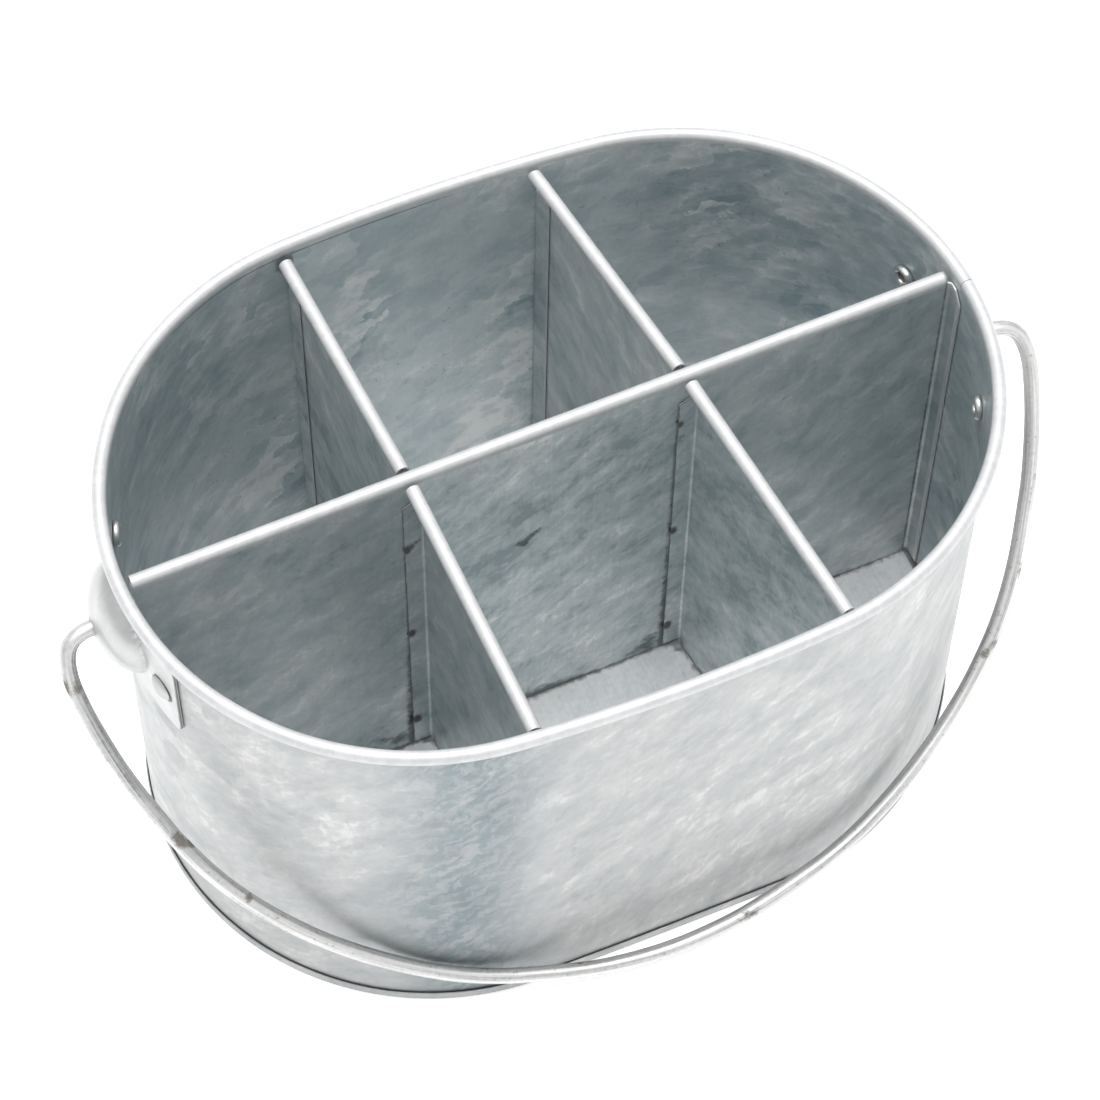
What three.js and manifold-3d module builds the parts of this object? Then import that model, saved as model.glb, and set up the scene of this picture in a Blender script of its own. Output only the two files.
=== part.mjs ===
// Oval sheet-metal table caddy: a six-compartment tub with a swinging wire bail.
// Millimetres, +Z up, +X along the long axis, -Y the side the bail rests on.
// Origin: centre of the underside of the base, on the table.
import * as THREE from "three";
import { mergeVertices } from "three/addons/utils/BufferGeometryUtils.js";
import Module from "manifold-3d";

// ---------------------------------------------------------------- dimensions
const SHEET = 0.6; // gauge of the wall, base and dividers
const GAP = 0.3; // clearance between pieces that touch

// Tub wall: oval of four arcs, nearly straight up, its rim rolled outwards.
const RIM_HEIGHT = 177.7; // axis of the rim roll
const TOP = { a: 148.2, b: 102.9, k: 0.0015 }; // outer face: half length, half width, side curvature
const FOOT = { a: 149.8, b: 104.35, k: 0.0003 };
const WALL_FOOT = 1.0; // lower edge of the wall, just above the base sheet
const CURL_R = 2.4; // outer radius of the rim roll
const CURL_TURN = 307; // degrees the sheet turns before its free edge
const BUTT = 0.4; // open butt joint of the roll at the right-hand end

// Base pan: flat sheet with its edge folded up around the foot of the wall.
const BAND_HEIGHT = 5.0;
const BAND_BEND = 1.3; // outer radius of the fold

// Dividers: sheet panels with a rolled top edge; flanges where they are welded, hems where they are free.
const ROLL_R = 2.4;
const ROLL_Z = 174.4; // axis of the rolls
const ROLL_TURN = 302; // degrees the sheet turns before its free edge
const PANEL_FOOT = 1.1;
const FLANGE_LOW = 3.2;
const FLANGE_BEND = 1.6; // outer radius of the flange bends
const LONG_AXIS_LEFT = -0.35; // y of the long roll's axis at x = -150
const LONG_AXIS_RIGHT = 7.25; // and at x = +150: the long divider sits a little askew
const LONG_FLANGE = 7.5; // on the tub wall, both ends
const LONG_FLANGE_TOP = 168.5;
const CROSS_FLANGE = 7.0; // on the face of the long divider
const CROSS_FLANGE_TOP = 162.0; // top of a cross divider's flange and hem
const HEM = 8.4; // folded end of a cross divider, beside the tub wall
const HEM_GAP = 0.3; // between the two leaves of a hem
// x of each cross roll's axis on the centre line (y = 0) and at y = +-104.7,
// and how far the panel stands beyond the roll's tangent
const CROSS = {
  rear_left_divider: { side: 1, inner: -50.3, outer: -56.8, set: 0 },
  rear_right_divider: { side: 1, inner: 49.5, outer: 34.8, set: 0 },
  front_left_divider: { side: -1, inner: -50.3, outer: -48.1, set: 1.8 },
  front_right_divider: { side: -1, inner: 49.5, outer: 60.2, set: 1.8 },
};
const CROSS_REACH = 104.7;

// Ears: pressed plates riveted to the ends, each with a dome that holds the wire.
// They face each other along a line a little askew of the oval's long axis.
const SKEW = 1.25; // degrees
const EAR_GAUGE = 1.0;
const EAR_HALF_WIDTH = 37.2;
const EAR_Z = [129.9, 169.8];
const EAR_CORNER = 4.0;
const DOME = { h: 10.4, y: 19.6, z: 18.3, mid: 150.4, p: 0.57 };
const PIVOT_Z = 150.0;
const WIRE_HOLE_R = 3.4;

// Rivets
const RIVETS = { // distance round the end from the middle of the dome, and height
  left_front_rivet: { side: -1, along: -28.7, z: 149.0 },
  left_rear_rivet: { side: -1, along: 30.8, z: 151.8 },
  right_front_rivet: { side: 1, along: -28.3, z: 151.0 },
  right_rear_rivet: { side: 1, along: 31.9, z: 150.4 },
};
const RIVET_HOLE_R = 2.35;

// Bail: one bent wire, at rest against the foot of the front wall.
const WIRE_R = 2.85;
const BAIL_REST = 50.2; // degrees below level
const BAIL_SHIFT = 0.45; // the wire sits a little to the right in its ears
const BAIL_HALF = [ // out from the middle of the pivot line, and away from it
  [152.8, 0], [159.5, 0], [164.2, 0.7], [167.6, 2.3], [169.9, 5.0], [171.2, 9.0], [171.75, 15.0],
  [171.1, 22.5], [169.9, 29.9], [168.4, 37.3], [166.6, 44.6], [164.6, 51.9], [162.3, 59.1],
  [159.7, 66.1], [157.0, 73.2], [154.2, 80.3], [151.0, 87.2], [146.8, 95.3], [142.0, 103.2],
  [136.7, 110.7], [130.9, 117.9], [124.8, 124.8], [118.3, 131.4], [111.5, 137.6], [101.9, 145.4],
  [89.2, 154.3], [75.7, 162.2], [61.4, 168.5], [49.5, 172.4], [37.4, 175.9], [25.1, 178.6], [12.6, 180.2],
];
const BAIL_DEPTH = 180.8;

// ------------------------------------------------------------------- helpers
const wasm = await Module();
wasm.setup();
const rad = THREE.MathUtils.degToRad;

function facingOut(geometry) {
  const p = geometry.getAttribute("position");
  const index = geometry.index.array;
  const A = new THREE.Vector3(), B = new THREE.Vector3(), C = new THREE.Vector3();
  let volume = 0;
  for (let i = 0; i < index.length; i += 3) {
    A.fromBufferAttribute(p, index[i]);
    B.fromBufferAttribute(p, index[i + 1]);
    C.fromBufferAttribute(p, index[i + 2]);
    volume += A.dot(B.cross(C));
  }
  if (volume < 0)
    for (let i = 0; i < index.length; i += 3)
      [index[i + 1], index[i + 2]] = [index[i + 2], index[i + 1]];
  return geometry;
}

function bare(geometry) {
  const g = new THREE.BufferGeometry();
  g.setAttribute("position", geometry.getAttribute("position").clone());
  if (geometry.index) g.setIndex(geometry.index.clone());
  return facingOut(mergeVertices(g, 1e-4));
}

function solid(geometry) {
  const g = bare(geometry);
  return new wasm.Manifold(
    new wasm.Mesh({
      numProp: 3,
      vertProperties: new Float32Array(g.getAttribute("position").array),
      triVerts: new Uint32Array(g.index.array),
    }),
  );
}

function geometryOf(manifold) {
  const m = manifold.getMesh();
  const g = new THREE.BufferGeometry();
  g.setAttribute("position", new THREE.BufferAttribute(new Float32Array(m.vertProperties), 3));
  g.setIndex(new THREE.BufferAttribute(new Uint32Array(m.triVerts), 1));
  return g;
}

// Skin over a list of equal rings of points: a closed loop of rings, or capped ends.
function skin(rings, loop) {
  const n = rings[0].length;
  const points = rings.flat();
  const index = [];
  const last = loop ? rings.length : rings.length - 1;
  for (let j = 0; j < last; j++)
    for (let i = 0; i < n; i++) {
      const a = j * n + i, b = j * n + ((i + 1) % n);
      const c = ((j + 1) % rings.length) * n + i, d = ((j + 1) % rings.length) * n + ((i + 1) % n);
      index.push(a, b, d, a, d, c);
    }
  if (!loop)
    for (const [j, flip] of [[0, true], [rings.length - 1, false]]) {
      const mid = rings[j].reduce((s, q) => s.map((v, k) => v + q[k] / n), [0, 0, 0]);
      points.push(mid);
      const m = points.length - 1;
      for (let i = 0; i < n; i++) {
        const a = j * n + i, b = j * n + ((i + 1) % n);
        index.push(...(flip ? [m, b, a] : [m, a, b]));
      }
    }
  const g = new THREE.BufferGeometry();
  g.setAttribute("position", new THREE.Float32BufferAttribute(points.flat(), 3));
  g.setIndex(index);
  return facingOut(g);
}

// Moves every vertex of a geometry by a rule (x, y, z) -> [x, y, z].
function bend(geometry, rule) {
  const p = geometry.getAttribute("position");
  for (let i = 0; i < p.count; i++) p.setXYZ(i, ...rule(p.getX(i), p.getY(i), p.getZ(i)));
  return facingOut(geometry);
}

// A flat outline in the (x, z) plane, drawn out along y.
function drawnAlongY(outline, y0, y1) {
  const shape = new THREE.Shape(outline.map(([x, z]) => new THREE.Vector2(x, z)));
  const g = new THREE.ExtrudeGeometry(shape, { depth: y1 - y0, bevelEnabled: false, steps: 1 });
  return bend(bare(g), (x, z, y) => [x, y + y0, z]);
}

// A flat outline in the (x, y) plane, drawn out along z.
function drawnAlongZ(outline, z0, z1) {
  const shape = new THREE.Shape(outline.map(([x, y]) => new THREE.Vector2(x, y)));
  const g = new THREE.ExtrudeGeometry(shape, { depth: z1 - z0, bevelEnabled: false, steps: 1 });
  g.translate(0, 0, z0);
  return bare(g);
}

function block(x0, x1, y0, y1, z0, z1) {
  const g = new THREE.BoxGeometry(x1 - x0, y1 - y0, z1 - z0);
  g.translate((x0 + x1) / 2, (y0 + y1) / 2, (z0 + z1) / 2);
  return bare(g);
}

const arc = (cx, cy, r, from, to, steps) =>
  Array.from({ length: steps + 1 }, (_, i) => {
    const t = rad(from + ((to - from) * i) / steps);
    return [cx + r * Math.cos(t), cy + r * Math.sin(t)];
  });

// ---------------------------------------------------------------- the oval
const END_STEPS = 20; // per quarter, round the ends
const SIDE_STEPS = 3; // per quarter, along the flat sides

function oval({ a, b, k }) {
  const R = 1 / k;
  const r = (2 * R * b - b * b - a * a) / (2 * (R - a));
  const cx = a - r;
  const turn = Math.atan2(R - b, cx);
  const out = [];
  const run = (px, py, radius, from, to, steps) => {
    for (let i = 0; i < steps; i++) {
      const t = from + ((to - from) * i) / steps;
      out.push([px + radius * Math.cos(t), py + radius * Math.sin(t), Math.cos(t), Math.sin(t)]);
    }
  };
  run(cx, 0, r, -turn, turn, 2 * END_STEPS);
  run(0, b - R, R, turn, Math.PI - turn, 2 * SIDE_STEPS);
  run(-cx, 0, r, Math.PI - turn, Math.PI + turn, 2 * END_STEPS);
  run(0, R - b, R, Math.PI + turn, 2 * Math.PI - turn, 2 * SIDE_STEPS);
  return Object.assign(out, { r, cx });
}
const top = oval(TOP);
const foot = oval(FOOT);

// The wall's outer face at a height, moved out by "out".
function section(z, out) {
  const s = z / RIM_HEIGHT;
  return foot.map((f, i) => {
    const t = top[i];
    const m = f.map((v, j) => v + (t[j] - v) * s);
    const l = Math.hypot(m[2], m[3]);
    return [m[0] + (out * m[2]) / l, m[1] + (out * m[3]) / l, z];
  });
}

// Where the section is crossed: y at a given x on one side, or x at a given y on one end.
function crossing(ring, axis, value, sign) {
  let best = 0;
  for (let i = 0; i < ring.length; i++) {
    const p = ring[i], q = ring[(i + 1) % ring.length];
    const u = p[axis], v = q[axis];
    if (u === v || (value - u) * (value - v) > 0) continue;
    const other = p[1 - axis] + ((q[1 - axis] - p[1 - axis]) * (value - u)) / (v - u);
    if (other * sign > 0) best = other;
  }
  return best;
}
const wallY = (x, z, out, sign) => crossing(section(z, out), 0, x, sign);
const wallX = (y, z, out, sign) => crossing(section(z, out), 1, y, sign);

// A point off the outer face at an end: side +1 right, -1 left; angle round the end arc.
function endPoint(side, angle, z, out) {
  const s = z / RIM_HEIGHT;
  const r = foot.r + (top.r - foot.r) * s + out;
  const cx = foot.cx + (top.cx - foot.cx) * s;
  return [side * (cx + r * Math.cos(angle)), r * Math.sin(angle), z];
}
const LEAN = (TOP.a - FOOT.a) / RIM_HEIGHT;
const endRadius = (z) => foot.r + ((top.r - foot.r) * z) / RIM_HEIGHT;
// Angle round the end arc of the middle of an ear
const earAngle = (side) => Math.asin((-side * 155 * Math.tan(rad(SKEW))) / endRadius(PIVOT_Z));

// ------------------------------------------------------------------ tub wall
const rivetSpots = Object.entries(RIVETS).map(([name, { side, along, z }]) => {
  const angle = earAngle(side) + along / endRadius(z);
  return {
    name,
    side,
    at: new THREE.Vector3(...endPoint(side, angle, z, 0)),
    normal: new THREE.Vector3(side * Math.cos(angle), Math.sin(angle), -LEAN).normalize(),
  };
});

// Round drill along a normal through a point.
function drill(at, normal, r, from, to) {
  const g = new THREE.CylinderGeometry(r, r, to - from, 20);
  g.translate(0, (from + to) / 2, 0);
  g.applyQuaternion(new THREE.Quaternion().setFromUnitVectors(new THREE.Vector3(0, 1, 0), normal));
  g.translate(at.x, at.y, at.z);
  return solid(g);
}

function tubWall() {
  const c = CURL_R - SHEET; // axis of the roll, out from the outer face
  const stop = 180 - CURL_TURN;
  const profile = [
    [0, WALL_FOOT],
    ...arc(c, RIM_HEIGHT, CURL_R - SHEET, 180, stop, 8),
    ...arc(c, RIM_HEIGHT, CURL_R, stop, 180, 11),
    [-SHEET, WALL_FOOT],
  ];
  let wall = solid(skin(profile.map(([n, z]) => section(z, n)), true));
  for (const spot of rivetSpots)
    wall = wall.subtract(drill(spot.at, spot.normal, RIVET_HOLE_R, -4, 4));
  const x = wallX(0, RIM_HEIGHT, 0, 1);
  wall = wall.subtract(
    solid(block(x - 2, x + 7, -BUTT / 2, BUTT / 2, RIM_HEIGHT - CURL_R - 0.3, RIM_HEIGHT + 4)),
  );
  return geometryOf(wall);
}

// ------------------------------------------------------------------ base pan
function basePan() {
  const out = GAP + SHEET; // outer face of the band beyond the wall
  const rule = [
    [out - BAND_BEND - 6, 0],
    ...arc(out - BAND_BEND, BAND_BEND, BAND_BEND, -90, 0, 3),
    [out, BAND_HEIGHT],
    [out - SHEET, BAND_HEIGHT],
    ...arc(out - BAND_BEND, BAND_BEND, BAND_BEND - SHEET, 0, -90, 2),
    [out - BAND_BEND - 6, SHEET],
  ];
  const rings = rule.map(([n, z]) => section(BAND_HEIGHT, n).map(([x, y]) => [x, y, z]));
  return skin(rings, false);
}

// ------------------------------------------------------------------ dividers
// Flat pattern space: w across the sheet (0..SHEET), v along it (0..length), z up.
// The first end is a flange turned to -w; the other is a flange or a hem, on the same side.
function dividerSheet({ length, flange, flangeTop, hem, rollFrom, rollTo, rollSide, set }) {
  const B = FLANGE_BEND, S = SHEET, G = HEM_GAP;
  const flangeOut = [[-flange, 0], ...arc(S - B, B, B, -90, 0, 4)];
  const flangeIn = [...arc(S - B, B, B - S, 0, -90, 3), [-flange, S]];
  const mirror = (list) => list.map(([w, v]) => [w, length - v]).reverse();
  const farOut = hem
    ? [...arc(-G / 2, length - S - G / 2, S + G / 2, 0, 180, 8), [-G - S, length - HEM], [-G, length - HEM]]
    : mirror(flangeOut);
  const farIn = hem ? arc(-G / 2, length - S - G / 2, G / 2, 180, 0, 4) : mirror(flangeIn);
  const low = FLANGE_LOW;
  const plan = [...flangeOut, ...farOut, ...farIn, ...flangeIn];
  let sheet = solid(drawnAlongZ(plan, low, flangeTop));
  // sloped top corners of the flanges
  const slope = (v0, v1) =>
    solid(
      drawnAlongY(
        [[-flange - 1, flangeTop - 5.5], [-flange - 1, flangeTop + 1], [-flange + 4.2, flangeTop + 1]], v0, v1,
      ),
    );
  sheet = sheet.subtract(slope(-1, S + 0.2));
  if (!hem) sheet = sheet.subtract(slope(length - S - 0.2, length + 1));
  // panel
  const end = hem ? S + G : B + 0.3;
  sheet = sheet.add(solid(block(0, S, B + 0.3, length - end, PANEL_FOOT, ROLL_Z - 11.5)));
  // rolled top edge, drawn with the panel's upper strip
  const c = rollSide < 0 ? S - ROLL_R - set : ROLL_R + set;
  const from = rollSide < 0 ? 0 : 180;
  const to = from - rollSide * ROLL_TURN;
  const near = rollSide < 0 ? 0 : S;
  const face = rollSide < 0 ? S : 0;
  const roll = [
    [face, ROLL_Z - 12],
    ...arc(c, ROLL_Z, ROLL_R, from, to, 14),
    ...arc(c, ROLL_Z, ROLL_R - S, to, from, 11),
    [near, ROLL_Z - 12],
  ];
  return sheet.add(solid(drawnAlongY(roll, rollFrom, rollTo)));
}

// Front face of the long divider
const longSlope = (LONG_AXIS_RIGHT - LONG_AXIS_LEFT) / 300;
const longFace = (x) => (LONG_AXIS_LEFT + LONG_AXIS_RIGHT) / 2 + longSlope * x - ROLL_R;
const INSIDE = -(SHEET + GAP); // where a divider's end stands, from the wall's outer face

function longDivider() {
  const length = 2 * wallX(0, 90, INSIDE, 1);
  const sheet = dividerSheet({
    length, flange: LONG_FLANGE, flangeTop: LONG_FLANGE_TOP, hem: false,
    rollFrom: 0.9, rollTo: length - 0.9, rollSide: 1, set: 0,
  });
  return bend(geometryOf(sheet), (w, v, z) => {
    const s = v / length;
    const y = longFace((s - 0.5) * length) + w;
    const left = wallX(y, z, INSIDE, -1) + v;
    const right = wallX(y, z, INSIDE, 1) - (length - v);
    return [left + (right - left) * s, y, z];
  });
}

function crossDivider({ side, inner, outer, set }) {
  const axisX = (y) => inner + ((outer - inner) * Math.abs(y)) / CROSS_REACH;
  const start = (x) => longFace(x) + (side > 0 ? SHEET + GAP : -GAP);
  const y0 = start(inner), y1 = wallY(outer, 90, INSIDE - 0.5, side);
  const length = Math.abs(y1 - y0);
  const rollFrom = side > 0 ? 2 * ROLL_R - SHEET - GAP + 0.8 : 0.4;
  const sheet = dividerSheet({
    length, flange: CROSS_FLANGE, flangeTop: CROSS_FLANGE_TOP, hem: true,
    rollFrom, rollTo: length - 0.5, rollSide: -1, set,
  });
  const shift = ROLL_R - SHEET + set; // from the roll's axis to the panel
  return bend(geometryOf(sheet), (w, v, z) => {
    const s = v / length;
    const x = axisX(y0 + (y1 - y0) * s) + shift + w;
    const near = start(x) + side * v;
    const far = wallY(x, z, INSIDE - 0.5, side) - side * (length - v);
    return [x, near + (far - near) * s, z];
  });
}

// ---------------------------------------------------------------------- ears
function ear(side) {
  const columns = 26, rows = 14;
  const [z0, z1] = EAR_Z;
  const middle = earAngle(side);
  const dome = (s, z, less) => {
    const q = (s / (DOME.y - less)) ** 2 + ((z - DOME.mid) / (DOME.z - less)) ** 2;
    return q < 1 ? DOME.h * (1 - q) ** DOME.p : 0;
  };
  const rowAt = (j) => {
    // the rows shorten towards the rounded corners
    const z = z0 + ((z1 - z0) * j) / rows;
    const d = Math.max(0, EAR_CORNER - Math.min(z - z0, z1 - z));
    const half = EAR_HALF_WIDTH - EAR_CORNER + Math.sqrt(Math.max(0, EAR_CORNER ** 2 - d ** 2));
    return { z, half };
  };
  const face = (out, less) => {
    const grid = [];
    for (let j = 0; j <= rows; j++) {
      const { z, half } = rowAt(j);
      const line = [];
      for (let i = 0; i <= columns; i++) {
        const s = -half + (2 * half * i) / columns;
        line.push(endPoint(side, middle + s / endRadius(PIVOT_Z), z, out + dome(s, z, less)));
      }
      grid.push(line);
    }
    return grid;
  };
  const inner = face(GAP, EAR_GAUGE), outer = face(GAP + EAR_GAUGE, 0);
  const n = columns + 1;
  const points = [...inner.flat(), ...outer.flat()];
  const half = n * (rows + 1);
  const index = [];
  for (let j = 0; j < rows; j++)
    for (let i = 0; i < columns; i++) {
      const a = j * n + i, b = a + 1, c = a + n, d = c + 1;
      index.push(a, c, d, a, d, b);
      index.push(half + a, half + d, half + c, half + a, half + b, half + d);
    }
  const edge = [];
  for (let i = 0; i < columns; i++) edge.push([i, i + 1]);
  for (let j = 0; j < rows; j++) edge.push([j * n + columns, (j + 1) * n + columns]);
  for (let i = columns; i > 0; i--) edge.push([rows * n + i, rows * n + i - 1]);
  for (let j = rows; j > 0; j--) edge.push([j * n, (j - 1) * n]);
  for (const [a, b] of edge) index.push(a, b, half + b, a, half + b, half + a);
  const g = new THREE.BufferGeometry();
  g.setAttribute("position", new THREE.Float32BufferAttribute(points.flat(), 3));
  g.setIndex(index);
  let plate = solid(facingOut(g));
  const axis = new THREE.Vector3(side * Math.cos(rad(SKEW)), -side * Math.sin(rad(SKEW)), 0);
  plate = plate.subtract(drill(axis.clone().multiplyScalar(150).setZ(PIVOT_Z), axis, WIRE_HOLE_R, 1, 20));
  for (const spot of rivetSpots)
    if (spot.side === side) plate = plate.subtract(drill(spot.at, spot.normal, RIVET_HOLE_R, -3, 5));
  return geometryOf(plate);
}

// -------------------------------------------------------------------- rivets
function rivet() {
  const under = GAP + EAR_GAUGE + 0.2; // underside of the head
  const tail = -(SHEET + 0.2); // face of the clinched tail
  const line = [
    [0, under + 2.0], [1.6, under + 1.9], [3.1, under + 1.5], [4.2, under + 0.9], [4.8, under + 0.3], [4.8, under],
    [2.05, under], [2.05, tail], [4.1, tail], [4.5, tail - 0.7], [4.4, tail - 1.5], [3.9, tail - 2.2], [3.2, tail - 2.5],
    [2.6, tail - 2.3], [2.2, tail - 1.7], [2.0, tail - 0.1], [0, tail],
  ];
  return bare(new THREE.LatheGeometry(line.map(([r, y]) => new THREE.Vector2(r, y)).reverse(), 16));
}

// ---------------------------------------------------------------------- bail
function bail() {
  const points = [
    ...BAIL_HALF.map(([u, v]) => new THREE.Vector3(BAIL_SHIFT - u, -v, 0)),
    new THREE.Vector3(BAIL_SHIFT, -BAIL_DEPTH, 0),
    ...[...BAIL_HALF].reverse().map(([u, v]) => new THREE.Vector3(BAIL_SHIFT + u, -v, 0)),
  ];
  const path = new THREE.CatmullRomCurve3(points, false, "centripetal");
  path.arcLengthDivisions = 900;
  const round = new THREE.Shape(
    arc(0, 0, WIRE_R, 0, 330, 11).map(([x, y]) => new THREE.Vector2(x, y)),
  );
  return bare(new THREE.ExtrudeGeometry(round, { steps: 108, extrudePath: path, bevelEnabled: false }));
}

// ------------------------------------------------------------------ assembly
const finish = (color, roughness, metalness) =>
  new THREE.MeshStandardMaterial({ color, roughness, metalness });
const GALVANISED = 0xb9bfc2, WIRE_GREY = 0x9a9c9b, RIVET_GREY = 0xb4b6b5;

function piece(name, geometry, color, roughness, metalness) {
  const flat = geometry.index ? geometry.toNonIndexed() : geometry;
  flat.computeVertexNormals();
  const mesh = new THREE.Mesh(flat, finish(color, roughness, metalness));
  mesh.name = name;
  return mesh;
}

const caddy = new THREE.Group();
caddy.name = "table_caddy";

const body = new THREE.Group();
body.name = "body";
caddy.add(body);
body.add(piece("tub_wall", tubWall(), GALVANISED, 0.42, 0.85));
body.add(piece("base_pan", basePan(), GALVANISED, 0.45, 0.85));
body.add(piece("long_divider", longDivider(), GALVANISED, 0.42, 0.85));
for (const [name, where] of Object.entries(CROSS))
  body.add(piece(name, crossDivider(where), GALVANISED, 0.42, 0.85));
body.add(piece("left_ear", ear(-1), GALVANISED, 0.4, 0.85));
body.add(piece("right_ear", ear(1), GALVANISED, 0.4, 0.85));
for (const spot of rivetSpots) {
  const mesh = piece(spot.name, rivet(), RIVET_GREY, 0.45, 0.8);
  mesh.position.copy(spot.at);
  mesh.quaternion.setFromUnitVectors(new THREE.Vector3(0, 1, 0), spot.normal);
  body.add(mesh);
}

const swing = new THREE.Group(); // turns about the line through both domes
swing.name = "swing";
swing.position.set(0, 0, PIVOT_Z);
swing.rotation.set(rad(BAIL_REST), 0, -rad(SKEW), "ZXY");
swing.add(piece("bail_handle", bail(), WIRE_GREY, 0.55, 0.75));
caddy.add(swing);

export default caddy;
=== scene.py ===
import math

import bpy
import numpy as np
from mathutils import Matrix, Vector


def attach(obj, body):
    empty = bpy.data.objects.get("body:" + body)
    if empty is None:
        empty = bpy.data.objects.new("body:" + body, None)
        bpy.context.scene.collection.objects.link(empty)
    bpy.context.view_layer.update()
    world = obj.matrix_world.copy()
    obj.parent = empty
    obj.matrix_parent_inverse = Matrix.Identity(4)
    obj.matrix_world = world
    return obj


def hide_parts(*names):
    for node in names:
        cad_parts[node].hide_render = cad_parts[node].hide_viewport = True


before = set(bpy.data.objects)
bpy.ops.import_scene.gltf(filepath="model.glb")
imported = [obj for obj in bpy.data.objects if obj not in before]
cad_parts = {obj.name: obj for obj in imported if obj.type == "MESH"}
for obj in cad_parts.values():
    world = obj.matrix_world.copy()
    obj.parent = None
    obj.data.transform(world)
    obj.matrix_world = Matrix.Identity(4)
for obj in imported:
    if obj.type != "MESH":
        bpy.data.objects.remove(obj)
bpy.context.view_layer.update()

# ------------------------------------------------------------------ dimensions
# Millimetres, in the frame of the CAD part; meshes are written in metres.
MM = 0.001
SHEET = 0.6
GAP = 0.3
RIM_HEIGHT = 177.7
TOP = (148.2, 102.9, 0.0015)
FOOT = (149.8, 104.35, 0.0003)
WALL_FOOT = 1.0
CURL_R = 2.4
CURL_TURN = 307.0
BUTT = 0.4
BAND_HEIGHT = 5.0
BAND_BEND = 1.3
ROLL_R = 2.4
ROLL_Z = 174.4
ROLL_TURN = 302.0
PANEL_FOOT = 1.1
FLANGE_LOW = 3.2
FLANGE_BEND = 1.6
LONG_AXIS = (-0.35, 7.25)
LONG_FLANGE = 7.5
LONG_FLANGE_TOP = 174.2
CROSS_FLANGE = 7.0
CROSS_FLANGE_TOP = 164.8
HEM = 8.4
HEM_GAP = 0.3
HEM_TOP = 165.0
CROSS = {
    "rear_left_divider": (1, -50.3, -56.8, 0.0),
    "rear_right_divider": (1, 49.5, 34.8, 0.0),
    "front_left_divider": (-1, -50.3, -48.1, 1.8),
    "front_right_divider": (-1, 49.5, 60.2, 1.8),
}
CROSS_REACH = 104.7
SKEW = math.radians(1.25)
EAR_GAUGE = 1.0
EAR_HALF = 37.2
EAR_Z = (129.9, 169.8)
EAR_CORNER = 4.0
DOME = {"h": 10.4, "y": 19.6, "z": 18.3, "mid": 150.4, "p": 0.57}
PIVOT_Z = 150.0
WIRE_HOLE_R = 3.4
RIVETS = {
    "left_front_rivet": (-1, -28.7, 149.0),
    "left_rear_rivet": (-1, 30.8, 151.8),
    "right_front_rivet": (1, -28.3, 151.0),
    "right_rear_rivet": (1, 31.9, 150.4),
}
WIRE_R = 2.85
BAIL_SHIFT = 0.45
BAIL_REST = math.radians(50.2)
BAIL_HALF = [
    (152.8, 0), (159.5, 0), (164.2, 0.7), (167.6, 2.3), (169.9, 5.0), (171.2, 9.0), (171.75, 15.0),
    (171.1, 22.5), (169.9, 29.9), (168.4, 37.3), (166.6, 44.6), (164.6, 51.9), (162.3, 59.1),
    (159.7, 66.1), (157.0, 73.2), (154.2, 80.3), (151.0, 87.2), (146.8, 95.3), (142.0, 103.2),
    (136.7, 110.7), (130.9, 117.9), (124.8, 124.8), (118.3, 131.4), (111.5, 137.6), (101.9, 145.4),
    (89.2, 154.3), (75.7, 162.2), (61.4, 168.5), (49.5, 172.4), (37.4, 175.9), (25.1, 178.6), (12.6, 180.2),
]
BAIL_DEPTH = 180.8


def smooth(t):
    t = np.clip(t, 0.0, 1.0)
    return t * t * (3 - 2 * t)


def ripple(u, v, seed, waves=7, low=45.0, high=170.0):
    """Smooth uneven height over a sheet, about -1 to 1, for places u, v in millimetres."""
    rng = np.random.default_rng(seed)
    total = np.zeros(np.broadcast(u, v).shape)
    for _ in range(waves):
        length = rng.uniform(low, high)
        a = rng.uniform(0, 2 * math.pi)
        total = total + np.sin(2 * math.pi * (u * math.cos(a) + v * math.sin(a)) / length + rng.uniform(0, 6.28))
    return total / math.sqrt(waves) * 0.8


# ------------------------------------------------------------------------ oval
N_END, N_SIDE = 84, 36  # steps per quarter: round the ends, along the sides


def oval(a, b, k, ends=N_END, sides=N_SIDE, extra=()):
    R = 1 / k
    r = (2 * R * b - b * b - a * a) / (2 * (R - a))
    cx = a - r
    turn = math.atan2(R - b, cx)
    first = np.sort(np.concatenate([np.linspace(-1, 1, 2 * ends, endpoint=False), np.array(extra, float)]))
    runs = [
        (cx, 0.0, r, first * turn),
        (0.0, b - R, R, np.linspace(turn, math.pi - turn, 2 * sides, endpoint=False)),
        (-cx, 0.0, r, np.linspace(math.pi - turn, math.pi + turn, 2 * ends, endpoint=False)),
        (0.0, R - b, R, np.linspace(math.pi + turn, 2 * math.pi - turn, 2 * sides, endpoint=False)),
    ]
    out = [np.stack([px + rad * np.cos(t), py + rad * np.sin(t), np.cos(t), np.sin(t)], 1) for px, py, rad, t in runs]
    return np.concatenate(out), r, cx, turn


_, TOP_R, TOP_CX, TOP_TURN = oval(*TOP)
_, FOOT_R, FOOT_CX, FOOT_TURN = oval(*FOOT)


def ring(z, out, n_end=N_END, n_side=N_SIDE, extra=()):
    """Plan of the wall's outer face at height z, moved out by "out" (a number or one per station)."""
    t = oval(*TOP, n_end, n_side, extra)[0]
    f = oval(*FOOT, n_end, n_side, extra)[0]
    m = f + (t - f) * (z / RIM_HEIGHT)
    n = m[:, 2:] / np.linalg.norm(m[:, 2:], axis=1, keepdims=True)
    return m[:, :2] + n * np.reshape(out, (-1, 1))


def end_radius(z):
    return FOOT_R + (TOP_R - FOOT_R) * z / RIM_HEIGHT


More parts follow.
